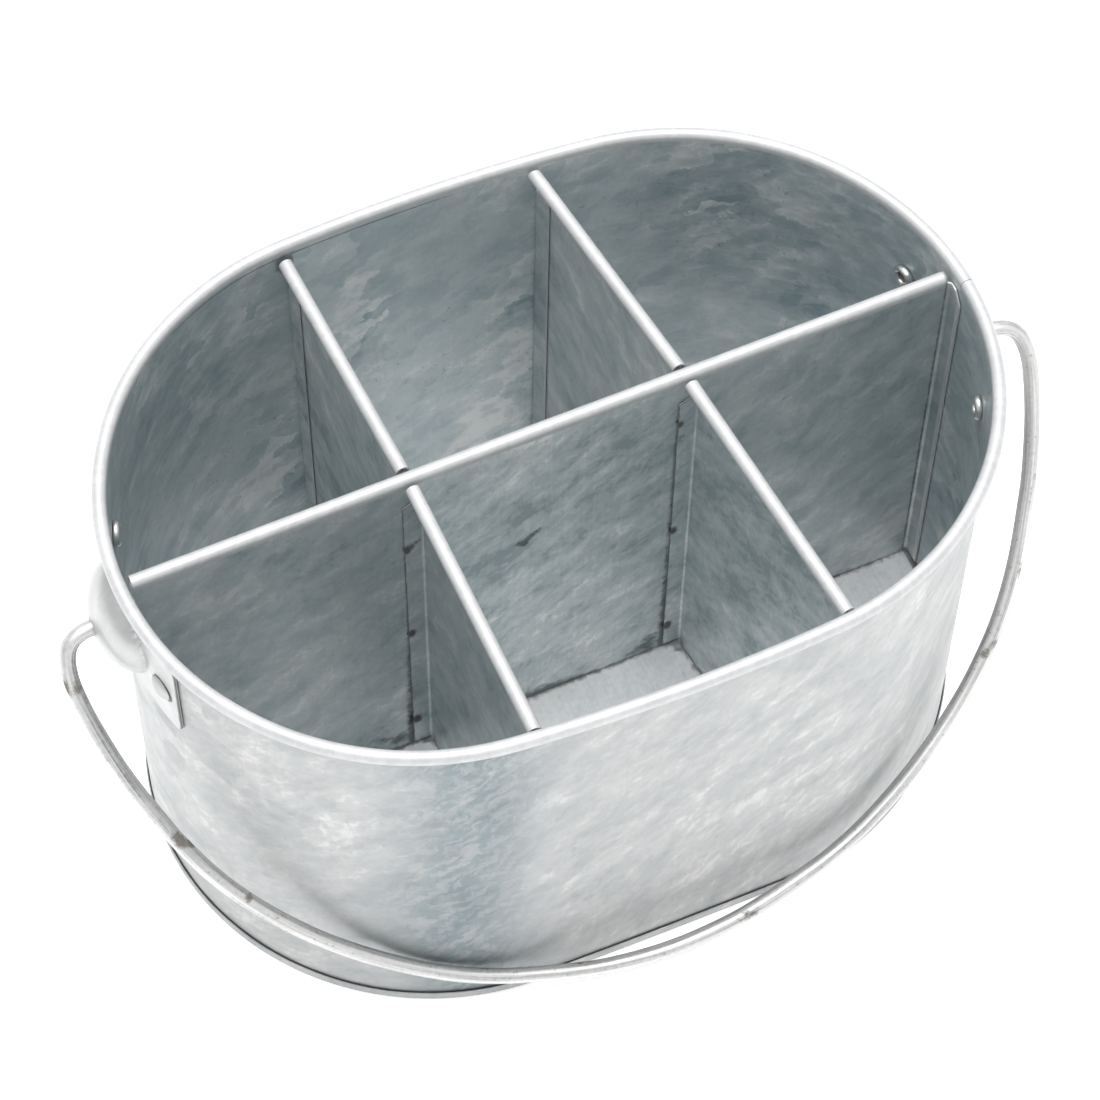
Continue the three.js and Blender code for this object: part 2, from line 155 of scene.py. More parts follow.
def ear_angle(side):
    return math.asin(-side * 155 * math.tan(SKEW) / end_radius(PIVOT_Z))


def end_point(side, angle, z, out):
    r = end_radius(z) + out
    cx = FOOT_CX + (TOP_CX - FOOT_CX) * z / RIM_HEIGHT
    return np.stack(np.broadcast_arrays(side * (cx + r * np.cos(angle)), r * np.sin(angle), z), -1)


_fine = {}


def crossing(axis, value, z, out, sign):
    """Where the wall is met: the other plan coordinate, for arrays of values and heights."""
    key = round(float(out), 3)
    if key not in _fine:
        _fine[key] = (ring(0.0, out), ring(RIM_HEIGHT, out))
    lo, hi = _fine[key]
    value = np.asarray(value, float)
    z = np.broadcast_to(np.asarray(z, float), value.shape)

    def at(plan):
        keep = plan[:, 1 - axis] * sign > 0
        p = plan[keep]
        order = np.argsort(p[:, axis])
        return np.interp(value, p[order, axis], p[order, 1 - axis])

    a, b = at(lo), at(hi)
    return a + (b - a) * z / RIM_HEIGHT


def arc(cx, cy, r, start, stop, steps):
    t = np.radians(np.linspace(start, stop, steps + 1))
    return np.stack([cx + r * np.cos(t), cy + r * np.sin(t)], 1)


# ----------------------------------------------------------------- mesh making
def make(name, verts, faces, attributes, body, node, angle=38.0, kinds=None, materials=()):
    mesh = bpy.data.meshes.new(name)
    mesh.from_pydata((np.asarray(verts) * MM).tolist(), [], faces)
    for key, values in attributes.items():
        values = np.array(values, np.float32)
        if key == "sheet":  # each sheet shows another stretch of the coating
            values[:, 0] += 61.0 * values[:, 2]
            values[:, 1] += 37.0 * values[:, 2]
        if values.ndim == 2:
            a = mesh.attributes.new(key, "FLOAT_VECTOR", "POINT")
            a.data.foreach_set("vector", values.ravel())
        else:
            a = mesh.attributes.new(key, "FLOAT", "POINT")
            a.data.foreach_set("value", values)
    for m in materials:
        mesh.materials.append(m)
    if kinds is not None:
        mesh.polygons.foreach_set("material_index", np.asarray(kinds, np.int32))
    mesh.validate()
    mesh.polygons.foreach_set("use_smooth", np.ones(len(mesh.polygons), bool))
    mesh.set_sharp_from_angle(angle=math.radians(angle))
    mesh.update()
    obj = bpy.data.objects.new(name, mesh)
    bpy.context.scene.collection.objects.link(obj)
    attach(obj, body)
    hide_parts(node)
    return obj


def outward(verts, faces):
    """Turns the faces round if the closed surface faces inwards."""
    v = np.asarray(verts)
    total = 0.0
    for count in sorted({len(f) for f in faces}):
        f = np.array([x for x in faces if len(x) == count])
        for i in range(1, count - 1):
            total += np.sum(v[f[:, 0]] * np.cross(v[f[:, i]], v[f[:, i + 1]]))
    return faces if total > 0 else [tuple(reversed(f)) for f in faces]


# -------------------------------------------------------------------- materials
class Graph:
    def __init__(self, name):
        self.material = bpy.data.materials.new(name)
        self.material.use_nodes = True
        self.tree = self.material.node_tree
        self.tree.nodes.clear()
        self.out = self.tree.nodes.new("ShaderNodeOutputMaterial")
        self.bsdf = self.tree.nodes.new("ShaderNodeBsdfPrincipled")
        self.link(self.bsdf.outputs["BSDF"], self.out.inputs["Surface"])

    def link(self, a, b):
        self.tree.links.new(a, b)

    def put(self, socket, value):
        if isinstance(value, bpy.types.NodeSocket):
            self.link(value, socket)
        else:
            socket.default_value = value

    def attribute(self, name, vector=False):
        n = self.tree.nodes.new("ShaderNodeAttribute")
        n.attribute_name = name
        return n.outputs["Vector" if vector else "Fac"]

    def math(self, op, a, b=0.0, c=0.0, clamp=False):
        n = self.tree.nodes.new("ShaderNodeMath")
        n.operation = op
        n.use_clamp = clamp
        for s, v in zip(n.inputs, (a, b, c)):
            self.put(s, v)
        return n.outputs[0]

    def vec(self, op, a, b=(0, 0, 0), scale=None):
        n = self.tree.nodes.new("ShaderNodeVectorMath")
        n.operation = op
        self.put(n.inputs[0], a)
        self.put(n.inputs[1], b)
        if scale is not None:
            self.put(n.inputs["Scale"], scale)
        return n.outputs[0]

    def turned(self, vector, angle, scale):
        n = self.tree.nodes.new("ShaderNodeMapping")
        n.vector_type = "TEXTURE"  # turned first, then stretched
        n.inputs["Rotation"].default_value = (0, 0, math.radians(angle))
        n.inputs["Scale"].default_value = tuple(1 / s for s in scale)
        self.link(vector, n.inputs["Vector"])
        return n.outputs[0]

    def noise(self, vector, scale, detail=3.0, rough=0.55, colour=False, distortion=0.0):
        n = self.tree.nodes.new("ShaderNodeTexNoise")
        n.noise_dimensions = "2D"
        n.inputs["Scale"].default_value = scale
        n.inputs["Detail"].default_value = detail
        n.inputs["Roughness"].default_value = rough
        n.inputs["Distortion"].default_value = distortion
        self.link(vector, n.inputs["Vector"])
        return n.outputs["Color" if colour else "Fac"]

    def cells(self, vector, scale, softness=None):
        n = self.tree.nodes.new("ShaderNodeTexVoronoi")
        n.voronoi_dimensions = "2D"
        if softness is not None:
            n.feature = "SMOOTH_F1"
            n.inputs["Smoothness"].default_value = softness
        n.inputs["Scale"].default_value = scale
        self.link(vector, n.inputs["Vector"])
        return n

    def first(self, colour):
        n = self.tree.nodes.new("ShaderNodeSeparateColor")
        self.link(colour, n.inputs[0])
        return n.outputs[0], n.outputs[1]

    def span(self, value, a, b, c=0.0, d=1.0, soft=True):
        n = self.tree.nodes.new("ShaderNodeMapRange")
        n.interpolation_type = "SMOOTHSTEP" if soft else "LINEAR"
        n.clamp = True
        for s, v in zip(n.inputs, (value, a, b, c, d)):
            self.put(s, v)
        return n.outputs[0]

    def mix(self, fac, a, b, blend="MIX"):
        n = self.tree.nodes.new("ShaderNodeMix")
        n.data_type = "RGBA"
        n.blend_type = blend
        self.put(n.inputs["Factor"], fac)
        for key, v in (("A", a), ("B", b)):
            s = [x for x in n.inputs if x.name == key and x.type == "RGBA"][0]
            self.put(s, v if isinstance(v, bpy.types.NodeSocket) else (*v, 1.0))
        return [x for x in n.outputs if x.type == "RGBA"][0]

    def ramp(self, value, stops):
        n = self.tree.nodes.new("ShaderNodeValToRGB")
        r = n.color_ramp
        r.interpolation = "EASE"
        while len(r.elements) < len(stops):
            r.elements.new(0.5)
        for e, (p, c) in zip(r.elements, stops):
            e.position = p
            e.color = (*c, 1.0)
        self.link(value, n.inputs[0])
        return n.outputs[0]

    def bump(self, height, strength, distance):
        n = self.tree.nodes.new("ShaderNodeBump")
        n.inputs["Strength"].default_value = strength
        n.inputs["Distance"].default_value = distance
        self.link(height, n.inputs["Height"])
        return n.outputs[0]


def galvanised(name, stops, rough, lean=32.0, patch=0.12, fine=0.10, stroke=0.25, dabs=0.15, broad=0.3, grain=0.10, line=0.06,
               specks=0.5, metallic=0.8, bump=0.2, grime_and_shade=(0.075, 0.08, 0.08), spread=0.10, tint=None):
    """Zinc-coated sheet: leaf-like crystal patches, slanting clouds and dabs, faint rolling lines, specks, and dirt
    mixed with painted shade.
    """
    g = Graph(name)
    place = g.attribute("sheet", True)
    wander = g.vec("SUBTRACT", g.noise(place, 70.0, 3.0, 0.6, colour=True), (0.5, 0.5, 0.5))
    bent = g.vec("ADD", place, g.vec("SCALE", wander, scale=0.016))
    ragged = g.vec("SUBTRACT", g.noise(place, 230.0, 2.0, colour=True), (0.5, 0.5, 0.5))
    bent2 = g.vec("ADD", g.vec("ADD", place, g.vec("SCALE", wander, scale=-0.009)), g.vec("SCALE", ragged, scale=0.004))
    big = g.cells(g.turned(bent, lean, (48.0, 92.0, 1.0)), 1.0)
    mid = g.cells(g.turned(bent2, lean + 9, (105.0, 215.0, 1.0)), 1.0)
    big_r, big_g = g.first(big.outputs["Color"])
    mid_r, mid_g = g.first(mid.outputs["Color"])
    wide = g.noise(place, 8.0, 2.0)
    cloud = g.noise(g.turned(bent, lean + 4, (1.0, 2.1, 1.0)), 40.0, 5.0, 0.6)
    dab = g.noise(g.turned(bent2, lean + 12, (1.0, 2.7, 1.0)), 118.0, 3.0, 0.5)
    mottle = g.noise(place, 460.0, 4.0, 0.62)
    rolled = g.noise(g.turned(place, 0.0, (900.0, 16.0, 1.0)), 1.0, 2.0)
    zone = g.noise(g.vec("ADD", place, (3.1, 1.7, 0.0)), 15.0, 2.0)
    crisp = g.span(zone, 0.36, 0.62, 0.25, 1.0)

    def part(value, amount):
        return g.math("MULTIPLY", g.math("SUBTRACT", value, 0.5), amount)

    # every patch runs from a darker root to a paler tip
    leaf = g.math("ADD", g.math("MULTIPLY", big_r, 0.72), g.math("MULTIPLY", big.outputs["Distance"], 0.5))
    leaf2 = g.math("ADD", g.math("MULTIPLY", mid_r, 0.72), g.math("MULTIPLY", mid.outputs["Distance"], 0.5))
    total = g.math("ADD", 0.5, g.math("MULTIPLY", g.math("ADD", part(leaf, patch), part(leaf2, fine)), crisp))
    for value, amount in ((wide, broad), (cloud, stroke), (dab, dabs), (mottle, grain), (rolled, line)):
        total = g.math("ADD", total, part(value, amount))
    colour = g.ramp(total, stops)
    # the tint attribute multiplies in a colour: a coloured band on the outside, painted shade on the inside and the
    # dividers
    if tint is not None:
        band = g.attribute("tint")
        stripe = g.span(g.math("ADD", g.math("MULTIPLY", rolled, 0.12), g.math("MULTIPLY", dab, 0.88)), 0.36, 0.60, 0.48, 1.0)
        colour = g.mix(g.math("MULTIPLY", band, stripe), colour, tint, "MULTIPLY")

    dots = g.cells(g.turned(bent2, 12.0, (230.0, 150.0, 1.0)), 1.0)
    dot_r, dot_g = g.first(dots.outputs["Color"])
    near = g.span(dots.outputs["Distance"], 0.16, 0.03)
    rare = g.span(dot_g, 0.66, 0.70)
    where = g.span(g.noise(place, 16.0, 2.0), 0.44, 0.60)
    speck = g.math("MULTIPLY", g.math("MULTIPLY", near, rare), g.math("MULTIPLY", where, specks))
    colour = g.mix(speck, colour, (0.10, 0.115, 0.125))

    # the darkening attribute read below carries real dirt and also painted shade in gaps, creases and corners; it pulls
    # the colour towards the dark grime colour
    worn = g.noise(place, 260.0, 4.0, 0.65)
    dirt_and_shade = g.attribute("grime_and_shade")
    dirt_and_shade_mask = g.span(g.math("ADD", dirt_and_shade, g.math("MULTIPLY", g.math("SUBTRACT", worn, 0.5), 0.9)), 0.28, 0.78)
    dirt_and_shade_mask = g.math("MULTIPLY", dirt_and_shade_mask, g.span(dirt_and_shade, 0.0, 0.12))
    colour = g.mix(g.math("MULTIPLY", dirt_and_shade_mask, 0.74), colour, grime_and_shade)
    stain = g.attribute("stain")
    burnt = g.span(g.math("ADD", stain, g.math("MULTIPLY", g.math("SUBTRACT", worn, 0.5), 0.5)), 0.15, 0.75)
    burnt = g.math("MULTIPLY", burnt, g.span(stain, 0.0, 0.15))
    colour = g.mix(g.math("MULTIPLY", burnt, 0.88), colour, (0.060, 0.048, 0.038))
    g.link(colour, g.bsdf.inputs["Base Color"])

    foul = g.math("MAXIMUM", dirt_and_shade_mask, burnt)
    r = g.math("ADD", rough, part(big_g, spread))
    r = g.math("ADD", r, part(mid_g, spread * 0.7))
    r = g.math("ADD", r, part(mottle, spread * 0.5))
    r = g.math("ADD", r, g.math("MULTIPLY", foul, 0.25), clamp=True)
    g.link(r, g.bsdf.inputs["Roughness"])
    m = g.math("SUBTRACT", metallic, g.math("MULTIPLY", foul, metallic * 0.7), clamp=True)
    g.link(m, g.bsdf.inputs["Metallic"])
    height = g.math("ADD", g.math("MULTIPLY", mottle, 0.6), g.math("MULTIPLY", rolled, 0.25))
    g.link(g.bump(height, bump, 0.0004), g.bsdf.inputs["Normal"])
    return g.material


OUTSIDE = galvanised(
    "zinc_outside",
    [(0.14, (0.285, 0.313, 0.325)), (0.40, (0.345, 0.356, 0.361)), (0.60, (0.393, 0.396, 0.398)), (0.86, (0.50, 0.50, 0.498))],
    0.42, lean=36.0, patch=0.26, fine=0.22, stroke=0.85, dabs=0.55, broad=0.30, grain=0.14, line=0.08, specks=0.08, bump=0.12,
    metallic=0.64, tint=(0.44, 0.535, 0.565))
# the tint colours of the inside and divider sheets are painted shade, laid on through the tint attribute
INSIDE = galvanised(
    "zinc_inside",
    [(0.14, (0.36, 0.445, 0.485)), (0.40, (0.535, 0.61, 0.635)), (0.60, (0.655, 0.71, 0.72)), (0.88, (0.89, 0.895, 0.888))],
    0.40, lean=150.0, patch=0.68, fine=0.36, stroke=0.62, dabs=0.22, broad=0.60, grain=0.18, line=0.10, specks=0.34, metallic=0.58,
    tint=(0.66, 0.70, 0.715))
DIVIDER = galvanised(
    "zinc_divider",
    [(0.14, (0.355, 0.42, 0.437)), (0.40, (0.52, 0.58, 0.592)), (0.60, (0.64, 0.68, 0.685)), (0.88, (0.88, 0.886, 0.88))],
    0.40, lean=34.0, patch=0.14, fine=0.12, stroke=1.10, dabs=0.66, broad=0.62, grain=0.20, line=0.14, specks=0.20, metallic=0.58,
    tint=(0.62, 0.65, 0.66))
ROLLED = galvanised(
    "zinc_rolled_edge",
    [(0.15, (0.42, 0.43, 0.438)), (0.45, (0.50, 0.508, 0.513)), (0.60, (0.55, 0.555, 0.56)), (0.9, (0.635, 0.635, 0.635))],
    0.47, patch=0.10, fine=0.10, stroke=0.30, dabs=0.35, broad=0.16, grain=0.34, specks=0.08, bump=0.10, metallic=0.30)
FLOORING = galvanised(
    "zinc_base",
    [(0.12, (0.62, 0.63, 0.64)), (0.40, (0.80, 0.805, 0.815)), (0.60, (0.87, 0.875, 0.88)), (0.88, (0.95, 0.95, 0.95))],
    0.45, lean=60.0, patch=0.14, fine=0.14, stroke=0.34, dabs=0.46, broad=0.2, grain=0.50, line=0.34, specks=0.2, metallic=0.22)
EAR = galvanised(
    "zinc_ear",
    [(0.15, (0.40, 0.415, 0.42)), (0.45, (0.47, 0.478, 0.48)), (0.60, (0.515, 0.519, 0.521)), (0.9, (0.60, 0.60, 0.60))],
    0.40, patch=0.10, fine=0.10, stroke=0.30, dabs=0.25, broad=0.14, specks=0.05, bump=0.12, metallic=0.64)
RIVET = galvanised(
    "rivet_plate",
    [(0.15, (0.55, 0.555, 0.55)), (0.45, (0.66, 0.665, 0.66)), (0.60, (0.74, 0.74, 0.735)), (0.9, (0.84, 0.84, 0.83))],
    0.26, patch=0.08, fine=0.08, broad=0.1, specks=0.1, bump=0.12, grime_and_shade=(0.045, 0.032, 0.022), metallic=0.9)
# a paler zinc, used as a painted highlight on the sheets' cut edges
CUT_EDGE_HIGHLIGHT = galvanised(
    "zinc_cut_edge_highlight",
    [(0.15, (0.52, 0.53, 0.54)), (0.45, (0.62, 0.63, 0.635)), (0.60, (0.70, 0.705, 0.71)), (0.9, (0.80, 0.80, 0.80))],
    0.36, patch=0.10, fine=0.10, broad=0.2, specks=0.1, bump=0.10, metallic=0.6)


def wire_material():
    """Drawn zinc-coated wire: dull, streaked lengthwise, with rubbed spots and brown dirt."""
    g = Graph("zinc_wire")
    place = g.attribute("sheet", True)  # along the wire, round it
    streak = g.noise(g.turned(place, 0.0, (26.0, 1500.0, 1.0)), 1.0, 4.0, 0.6)
    long_streak = g.noise(g.turned(place, 0.0, (9.0, 520.0, 1.0)), 1.0, 3.0, 0.6)
    mottle = g.noise(place, 620.0, 4.0, 0.62)
    wide = g.noise(place, 22.0, 3.0)
    total = g.math("ADD", 0.5, g.math("MULTIPLY", g.math("SUBTRACT", streak, 0.5), 0.8))
    total = g.math("ADD", total, g.math("MULTIPLY", g.math("SUBTRACT", long_streak, 0.5), 0.9))
    total = g.math("ADD", total, g.math("MULTIPLY", g.math("SUBTRACT", mottle, 0.5), 0.30))
    total = g.math("ADD", total, g.math("MULTIPLY", g.math("SUBTRACT", wide, 0.5), 0.2))
    colour = g.ramp(total, [(0.12, (0.24, 0.245, 0.243)), (0.38, (0.52, 0.525, 0.52)), (0.6, (0.67, 0.673, 0.663)), (0.9, (0.86, 0.86, 0.845))])
    dots = g.cells(g.turned(place, 0.0, (420.0, 420.0, 1.0)), 1.0)
    dot_r, dot_g = g.first(dots.outputs["Color"])
    speck = g.math("MULTIPLY", g.span(dots.outputs["Distance"], 0.26, 0.06), g.span(dot_g, 0.80, 0.84))
    colour = g.mix(g.math("MULTIPLY", speck, 0.35), colour, (0.12, 0.105, 0.085))
    dirt_and_shade = g.attribute("grime_and_shade")
    worn = g.noise(place, 380.0, 5.0, 0.7)
    dirt_and_shade_mask = g.span(g.math("ADD", dirt_and_shade, g.math("MULTIPLY", g.math("SUBTRACT", worn, 0.5), 1.1)), 0.35, 0.85)
    dirt_and_shade_mask = g.math("MULTIPLY", dirt_and_shade_mask, g.span(dirt_and_shade, 0.0, 0.1))
    colour = g.mix(g.math("MULTIPLY", dirt_and_shade_mask, 0.85), colour, (0.105, 0.088, 0.068))
    g.link(colour, g.bsdf.inputs["Base Color"])
    r = g.math("ADD", 0.46, g.math("MULTIPLY", g.math("SUBTRACT", mottle, 0.5), 0.2))
    r = g.math("ADD", r, g.math("MULTIPLY", dirt_and_shade_mask, 0.25), clamp=True)
    g.link(r, g.bsdf.inputs["Roughness"])
    m = g.math("SUBTRACT", 0.8, g.math("MULTIPLY", dirt_and_shade_mask, 0.6), clamp=True)
    g.link(m, g.bsdf.inputs["Metallic"])
    height = g.math("ADD", g.math("MULTIPLY", streak, 0.5), g.math("MULTIPLY", mottle, 0.5))
    height = g.math("ADD", height, g.math("MULTIPLY", long_streak, 0.4))
    g.link(g.bump(height, 0.35, 0.0003), g.bsdf.inputs["Normal"])
    return g.material


WIRE = wire_material()


# --------------------------------------------------------------------- tub wall
def tub_wall():
    c = CURL_R - SHEET
    stop = 180 - CURL_TURN
    low = np.concatenate([np.linspace(WALL_FOOT, 12, 9), np.linspace(16, 168, 34)])
    heights = np.concatenate([low, [170, 172, 173.6, 174.4, 174.8, 175.2, 175.6, 176.0, 176.6]])
    outer = np.stack([np.zeros_like(heights), heights], 1)
    under = arc(c, RIM_HEIGHT, CURL_R - SHEET, 180, stop, 22)
    over = arc(c, RIM_HEIGHT, CURL_R - 0.02, stop, 180, 30)
    inner = np.stack([np.full_like(heights, -SHEET), heights], 1)[::-1]
    profile = np.concatenate([outer, under, over, inner])
    kind = np.concatenate([np.zeros(len(outer)), np.full(len(under), 2), np.full(len(over), 2), np.ones(len(inner))]).astype(int)
    half = BUTT / 2 / TOP_R / TOP_TURN
    extra = (-half, half, -4 * half, 4 * half)
    base = oval(*TOP, N_END, N_SIDE, extra)[0]
    n, rows = len(base), len(profile)
    step = np.linalg.norm(np.diff(np.concatenate([base, base[:1]])[:, :2], axis=0), axis=1)
    first = int(np.argmin(np.abs(base[:, 1] + BUTT / 2) + (base[:, 0] < 0) * 1e3))
    second = first + 1
    along = np.zeros(n)  # from the joint, once round
    for m in range(1, n):
        along[(second + m) % n] = along[(second + m - 1) % n] + step[(second + m - 1) % n]
    girth = along[first]
    verts, sheet, grime_and_shade, tint = [], [], [], []
    for i, (out, z) in enumerate(profile):
        fade = smooth((z - 8) / 30) * smooth((168 - z) / 30)
        plan = ring(z, 0.0, extra=extra)
        sides = 1 - smooth((np.abs(plan[:, 0]) - 112) / 22)
        join = smooth(along / 30) * smooth((girth - along) / 30)
        wave = ripple(along, np.full(n, z), 11) - 1.0  # the sheet only ever sinks in
        shift = 0.16 * wave * fade * sides * join
        edge = -0.06 * (1 + ripple(along, np.full(n, 0.0), 12, low=24, high=90)) * smooth((z - 170) / 5) * join
        plan = ring(z, out + np.clip(shift + edge, -0.4, 0.0), extra=extra)
        verts.append(np.concatenate([plan, np.full((n, 1), z)], 1))
        sheet.append(np.stack([along, np.full(n, z + (400 if kind[i] == 1 else 0)), np.full(n, 3.0 * kind[i])], 1) * MM)
        # darker towards the foot on the inside; on the outside a painted shade in the gap just above the base band's
        # top
        dirt_and_shade = np.full(n, smooth((4.5 - z) / 4.0) * 0.9 if kind[i] == 1 else smooth((7.0 - z) / 2.0) * 0.9)
        if kind[i] == 1:  # painted shade: a thin dark line in the crease where the roll begins, seen along part of the back
            here = smooth((plan[:, 1] - 60) / 25) * smooth((28 - plan[:, 0]) / 45) * smooth((plan[:, 0] + 112) / 22)
            dirt_and_shade = np.maximum(dirt_and_shade, 1.15 * here * math.exp(-((z - 175.2) / 0.36) ** 2))
            # painted shade on the wall where the rear left divider's roll ends against it
            spot = np.hypot(plan[:, 0] + 56.0, 0.8 * (z - 171.5)) / 3.5
            dirt_and_shade = np.maximum(dirt_and_shade, np.where(plan[:, 1] > 0, 1.5 * np.exp(-spot ** 2), 0.0))
        grime_and_shade.append(dirt_and_shade)
        drift = 7.0 * ripple(np.full(n, z), np.zeros(n), 14, low=30, high=110)
        if kind[i] == 1:  # painted shade, darker towards the round ends; also darker towards the rim
            tint.append(np.clip(0.42 * smooth((z - 60) / 100) + 0.50 * smooth((np.abs(plan[:, 0]) - 52) / 40), 0, 1))
        else:
            tint.append(np.where(plan[:, 1] < 0, np.exp(-np.abs((plan[:, 0] + 68 + drift) / 23.0) ** 2.4), 0.0))
    verts = np.concatenate(verts)
    roll_rows = [i for i in range(rows) if kind[i] == 2]
    i0, i1 = roll_rows[0] - 1, roll_rows[-1] + 1  # the slot of the butt joint runs through these rows
    j = np.arange(n)
    faces, kinds = [], []
    for i in range(rows):
        k = (i + 1) % rows
        keep = np.ones(n, bool)
        if i0 <= i < i1:
            keep[first] = False
        a = j[keep]
        l = (a + 1) % n
        faces += [tuple(f) for f in np.stack([i * n + a, i * n + l, k * n + l, k * n + a], 1).tolist()]
        kinds += [2 if 2 in (kind[i], kind[k]) else int(kind[i])] * len(a)
    sign = outward(verts, faces)
    turned = sign[0] != faces[0]
    loop = list(range(i0, i1 + 1))
    rest = [(i0 * n + first, i0 * n + second, i1 * n + second, i1 * n + first),
            tuple(i * n + first for i in loop), tuple(i * n + second for i in reversed(loop))]
    faces = sign + [tuple(reversed(f)) if turned else f for f in rest]
    kinds += [2, 2, 2]
    make("caddy_wall", verts, faces,
         {"sheet": np.concatenate(sheet), "grime_and_shade": np.concatenate(grime_and_shade), "stain": np.zeros(len(verts)), "tint": np.concatenate(tint)},
         "body", "tub_wall", 40, kinds, (OUTSIDE, INSIDE, ROLLED))


# ------------------------------------------------------------------- dividers
LONG_SLOPE = (LONG_AXIS[1] - LONG_AXIS[0]) / 300
INSIDE_OUT = -(SHEET + GAP)


def long_face(x):
    return (LONG_AXIS[0] + LONG_AXIS[1]) / 2 + LONG_SLOPE * x - ROLL_R


def cross_axis(name, y):
    side, inner, outer, _ = CROSS[name]
    return inner + (outer - inner) * np.abs(y) / CROSS_REACH


def divider(name, length, flange, flange_top, hem, roll_from, roll_to, roll_side, offset, rule, seed, marks, spots, smears=(), slope=2.4, tone=None, near_top=None, lines=()):
    """One bent sheet: w across it, v along it, z up. Columns run through flange, bend, panel and far end."""
    S, B, G = SHEET, FLANGE_BEND, HEM_GAP
    half = S / 2
    # plan path of the middle of the sheet: points, normals, kind (0 flange or hem, 1 panel)
    path, kind = [], []
    for w in np.linspace(-flange, S - B, 11)[:-1]:
        path.append((w, half, 0, -1)); kind.append(0)
    for t in np.radians(np.linspace(-90, 0, 7)):
        path.append((S - B + (B - half) * math.cos(t), B + (B - half) * math.sin(t), math.cos(t), math.sin(t))); kind.append(0)
    kind[-1] = 1
    end = length - S - G / 2 if hem else length - B
    stations = np.unique(np.round(np.concatenate([
        np.linspace(B, end, int(length / 2.2)), [roll_from, roll_to],
        *[np.linspace(v - 6, v + 6, 13) for v, _, _ in spots if B < v - 6 and v + 6 < end],
        *[np.linspace(v - 3.6, v + 3.6, 13) - flange for v, _, _, _, _, _ in lines],
        [] if hem else [end - 0.35, end - 0.8, end - 1.3, end - 2.0]]), 3))
    stations = stations[(stations > B + 0.05) & (stations < end - 0.05)]
    for v in stations:
        path.append((half, v, 1, 0)); kind.append(1)
    if hem:
        r = (S + G) / 2
        for t in np.radians(np.linspace(0, 180, 11)):
            path.append((-G / 2 + r * math.cos(t), end + r * math.sin(t), math.cos(t), math.sin(t))); kind.append(2)
        kind[len(kind) - 11] = 1
        for v in np.linspace(end, length - HEM, 9)[1:]:
            path.append((-G - half, v, -1, 0)); kind.append(2)
    else:
        for t in np.radians(np.linspace(0, 90, 7)):
            path.append((S - B + (B - half) * math.cos(t), length - B + (B - half) * math.sin(t), math.cos(t), math.sin(t))); kind.append(0)
        kind[len(kind) - 7] = 1
        for w in np.linspace(S - B, -flange, 11)[1:]:
            path.append((w, length - half, 0, 1)); kind.append(0)
    path, kind = np.array(path), np.array(kind)
    # rows: heights of the flat sheet, then the turns of the roll
    levels = np.unique(np.round(np.concatenate([
        [PANEL_FOOT, FLANGE_LOW, flange_top, near_top or flange_top, HEM_TOP, ROLL_Z - 11.5], np.linspace(PANEL_FOOT, 9, 9), np.linspace(12, ROLL_Z - 13, 66),
        np.linspace(ROLL_Z - 9, ROLL_Z, 8), *[np.linspace(z - 6, z + 6, 13) for _, z, _ in spots if z + 6 < ROLL_Z - 12]]), 3))
    turns = np.linspace(0, ROLL_TURN, 44)[1:]
    c = (S - ROLL_R - offset) if roll_side < 0 else (ROLL_R + offset)
    start = 0 if roll_side < 0 else 180
    rows = len(levels) + len(turns)
    cols = len(path)
    pos = np.zeros((2, rows, cols, 3))  # the two faces of the sheet
    v_of = path[:, 1]
    developed = np.concatenate([[0], np.cumsum(np.linalg.norm(np.diff(path[:, :2], axis=0), axis=1))])
    for j, z in enumerate(levels):
        lift = -offset * smooth((z - (ROLL_Z - 12)) / 12) if roll_side < 0 else offset * smooth((z - (ROLL_Z - 12)) / 12)
        wave = 0.22 * ripple(v_of, np.full(cols, z), seed) * smooth((z - 4) / 25) * smooth((ROLL_Z - 6 - z) / 20)
        wave = wave * smooth((v_of - 9) / 25) * smooth((length - 11 - v_of) / 25) * (kind == 1)
        zz = np.full(cols, z)
        drop = np.where(kind == 0, np.clip((-flange + 4.2 - path[:, 0]) / 4.2, 0, 1) * slope, 0.0)
        zz = zz - drop * smooth((z - (flange_top - 22)) / 22)
        dent = np.zeros(cols)
        for v, zc, depth in spots:
            d2 = (developed - (v if v >= 0 else developed[0] - v)) ** 2 + (z - zc) ** 2
            dent = dent - depth * np.exp(-d2 / (2 * 1.1 ** 2))
        for f, s in ((0, half), (1, -half)):
            pos[f, j, :, 0] = path[:, 0] + lift + wave + (s + dent) * path[:, 2]
            pos[f, j, :, 1] = path[:, 1] + (s + dent) * path[:, 3]
            pos[f, j, :, 2] = zz
    for j, turn in enumerate(turns):
        t = math.radians(start - roll_side * turn)
        uneven = 0.05 * ripple(v_of, np.zeros(cols), seed + 5, low=30, high=120)
        for f in (0, 1):
            r = ROLL_R if (f == 0) == (roll_side < 0) else ROLL_R - S
            pos[f, len(levels) + j, :, 0] = c + r * math.cos(t)
            pos[f, len(levels) + j, :, 1] = v_of
            pos[f, len(levels) + j, :, 2] = ROLL_Z + r * math.sin(t) + uneven * smooth(turn / 60)
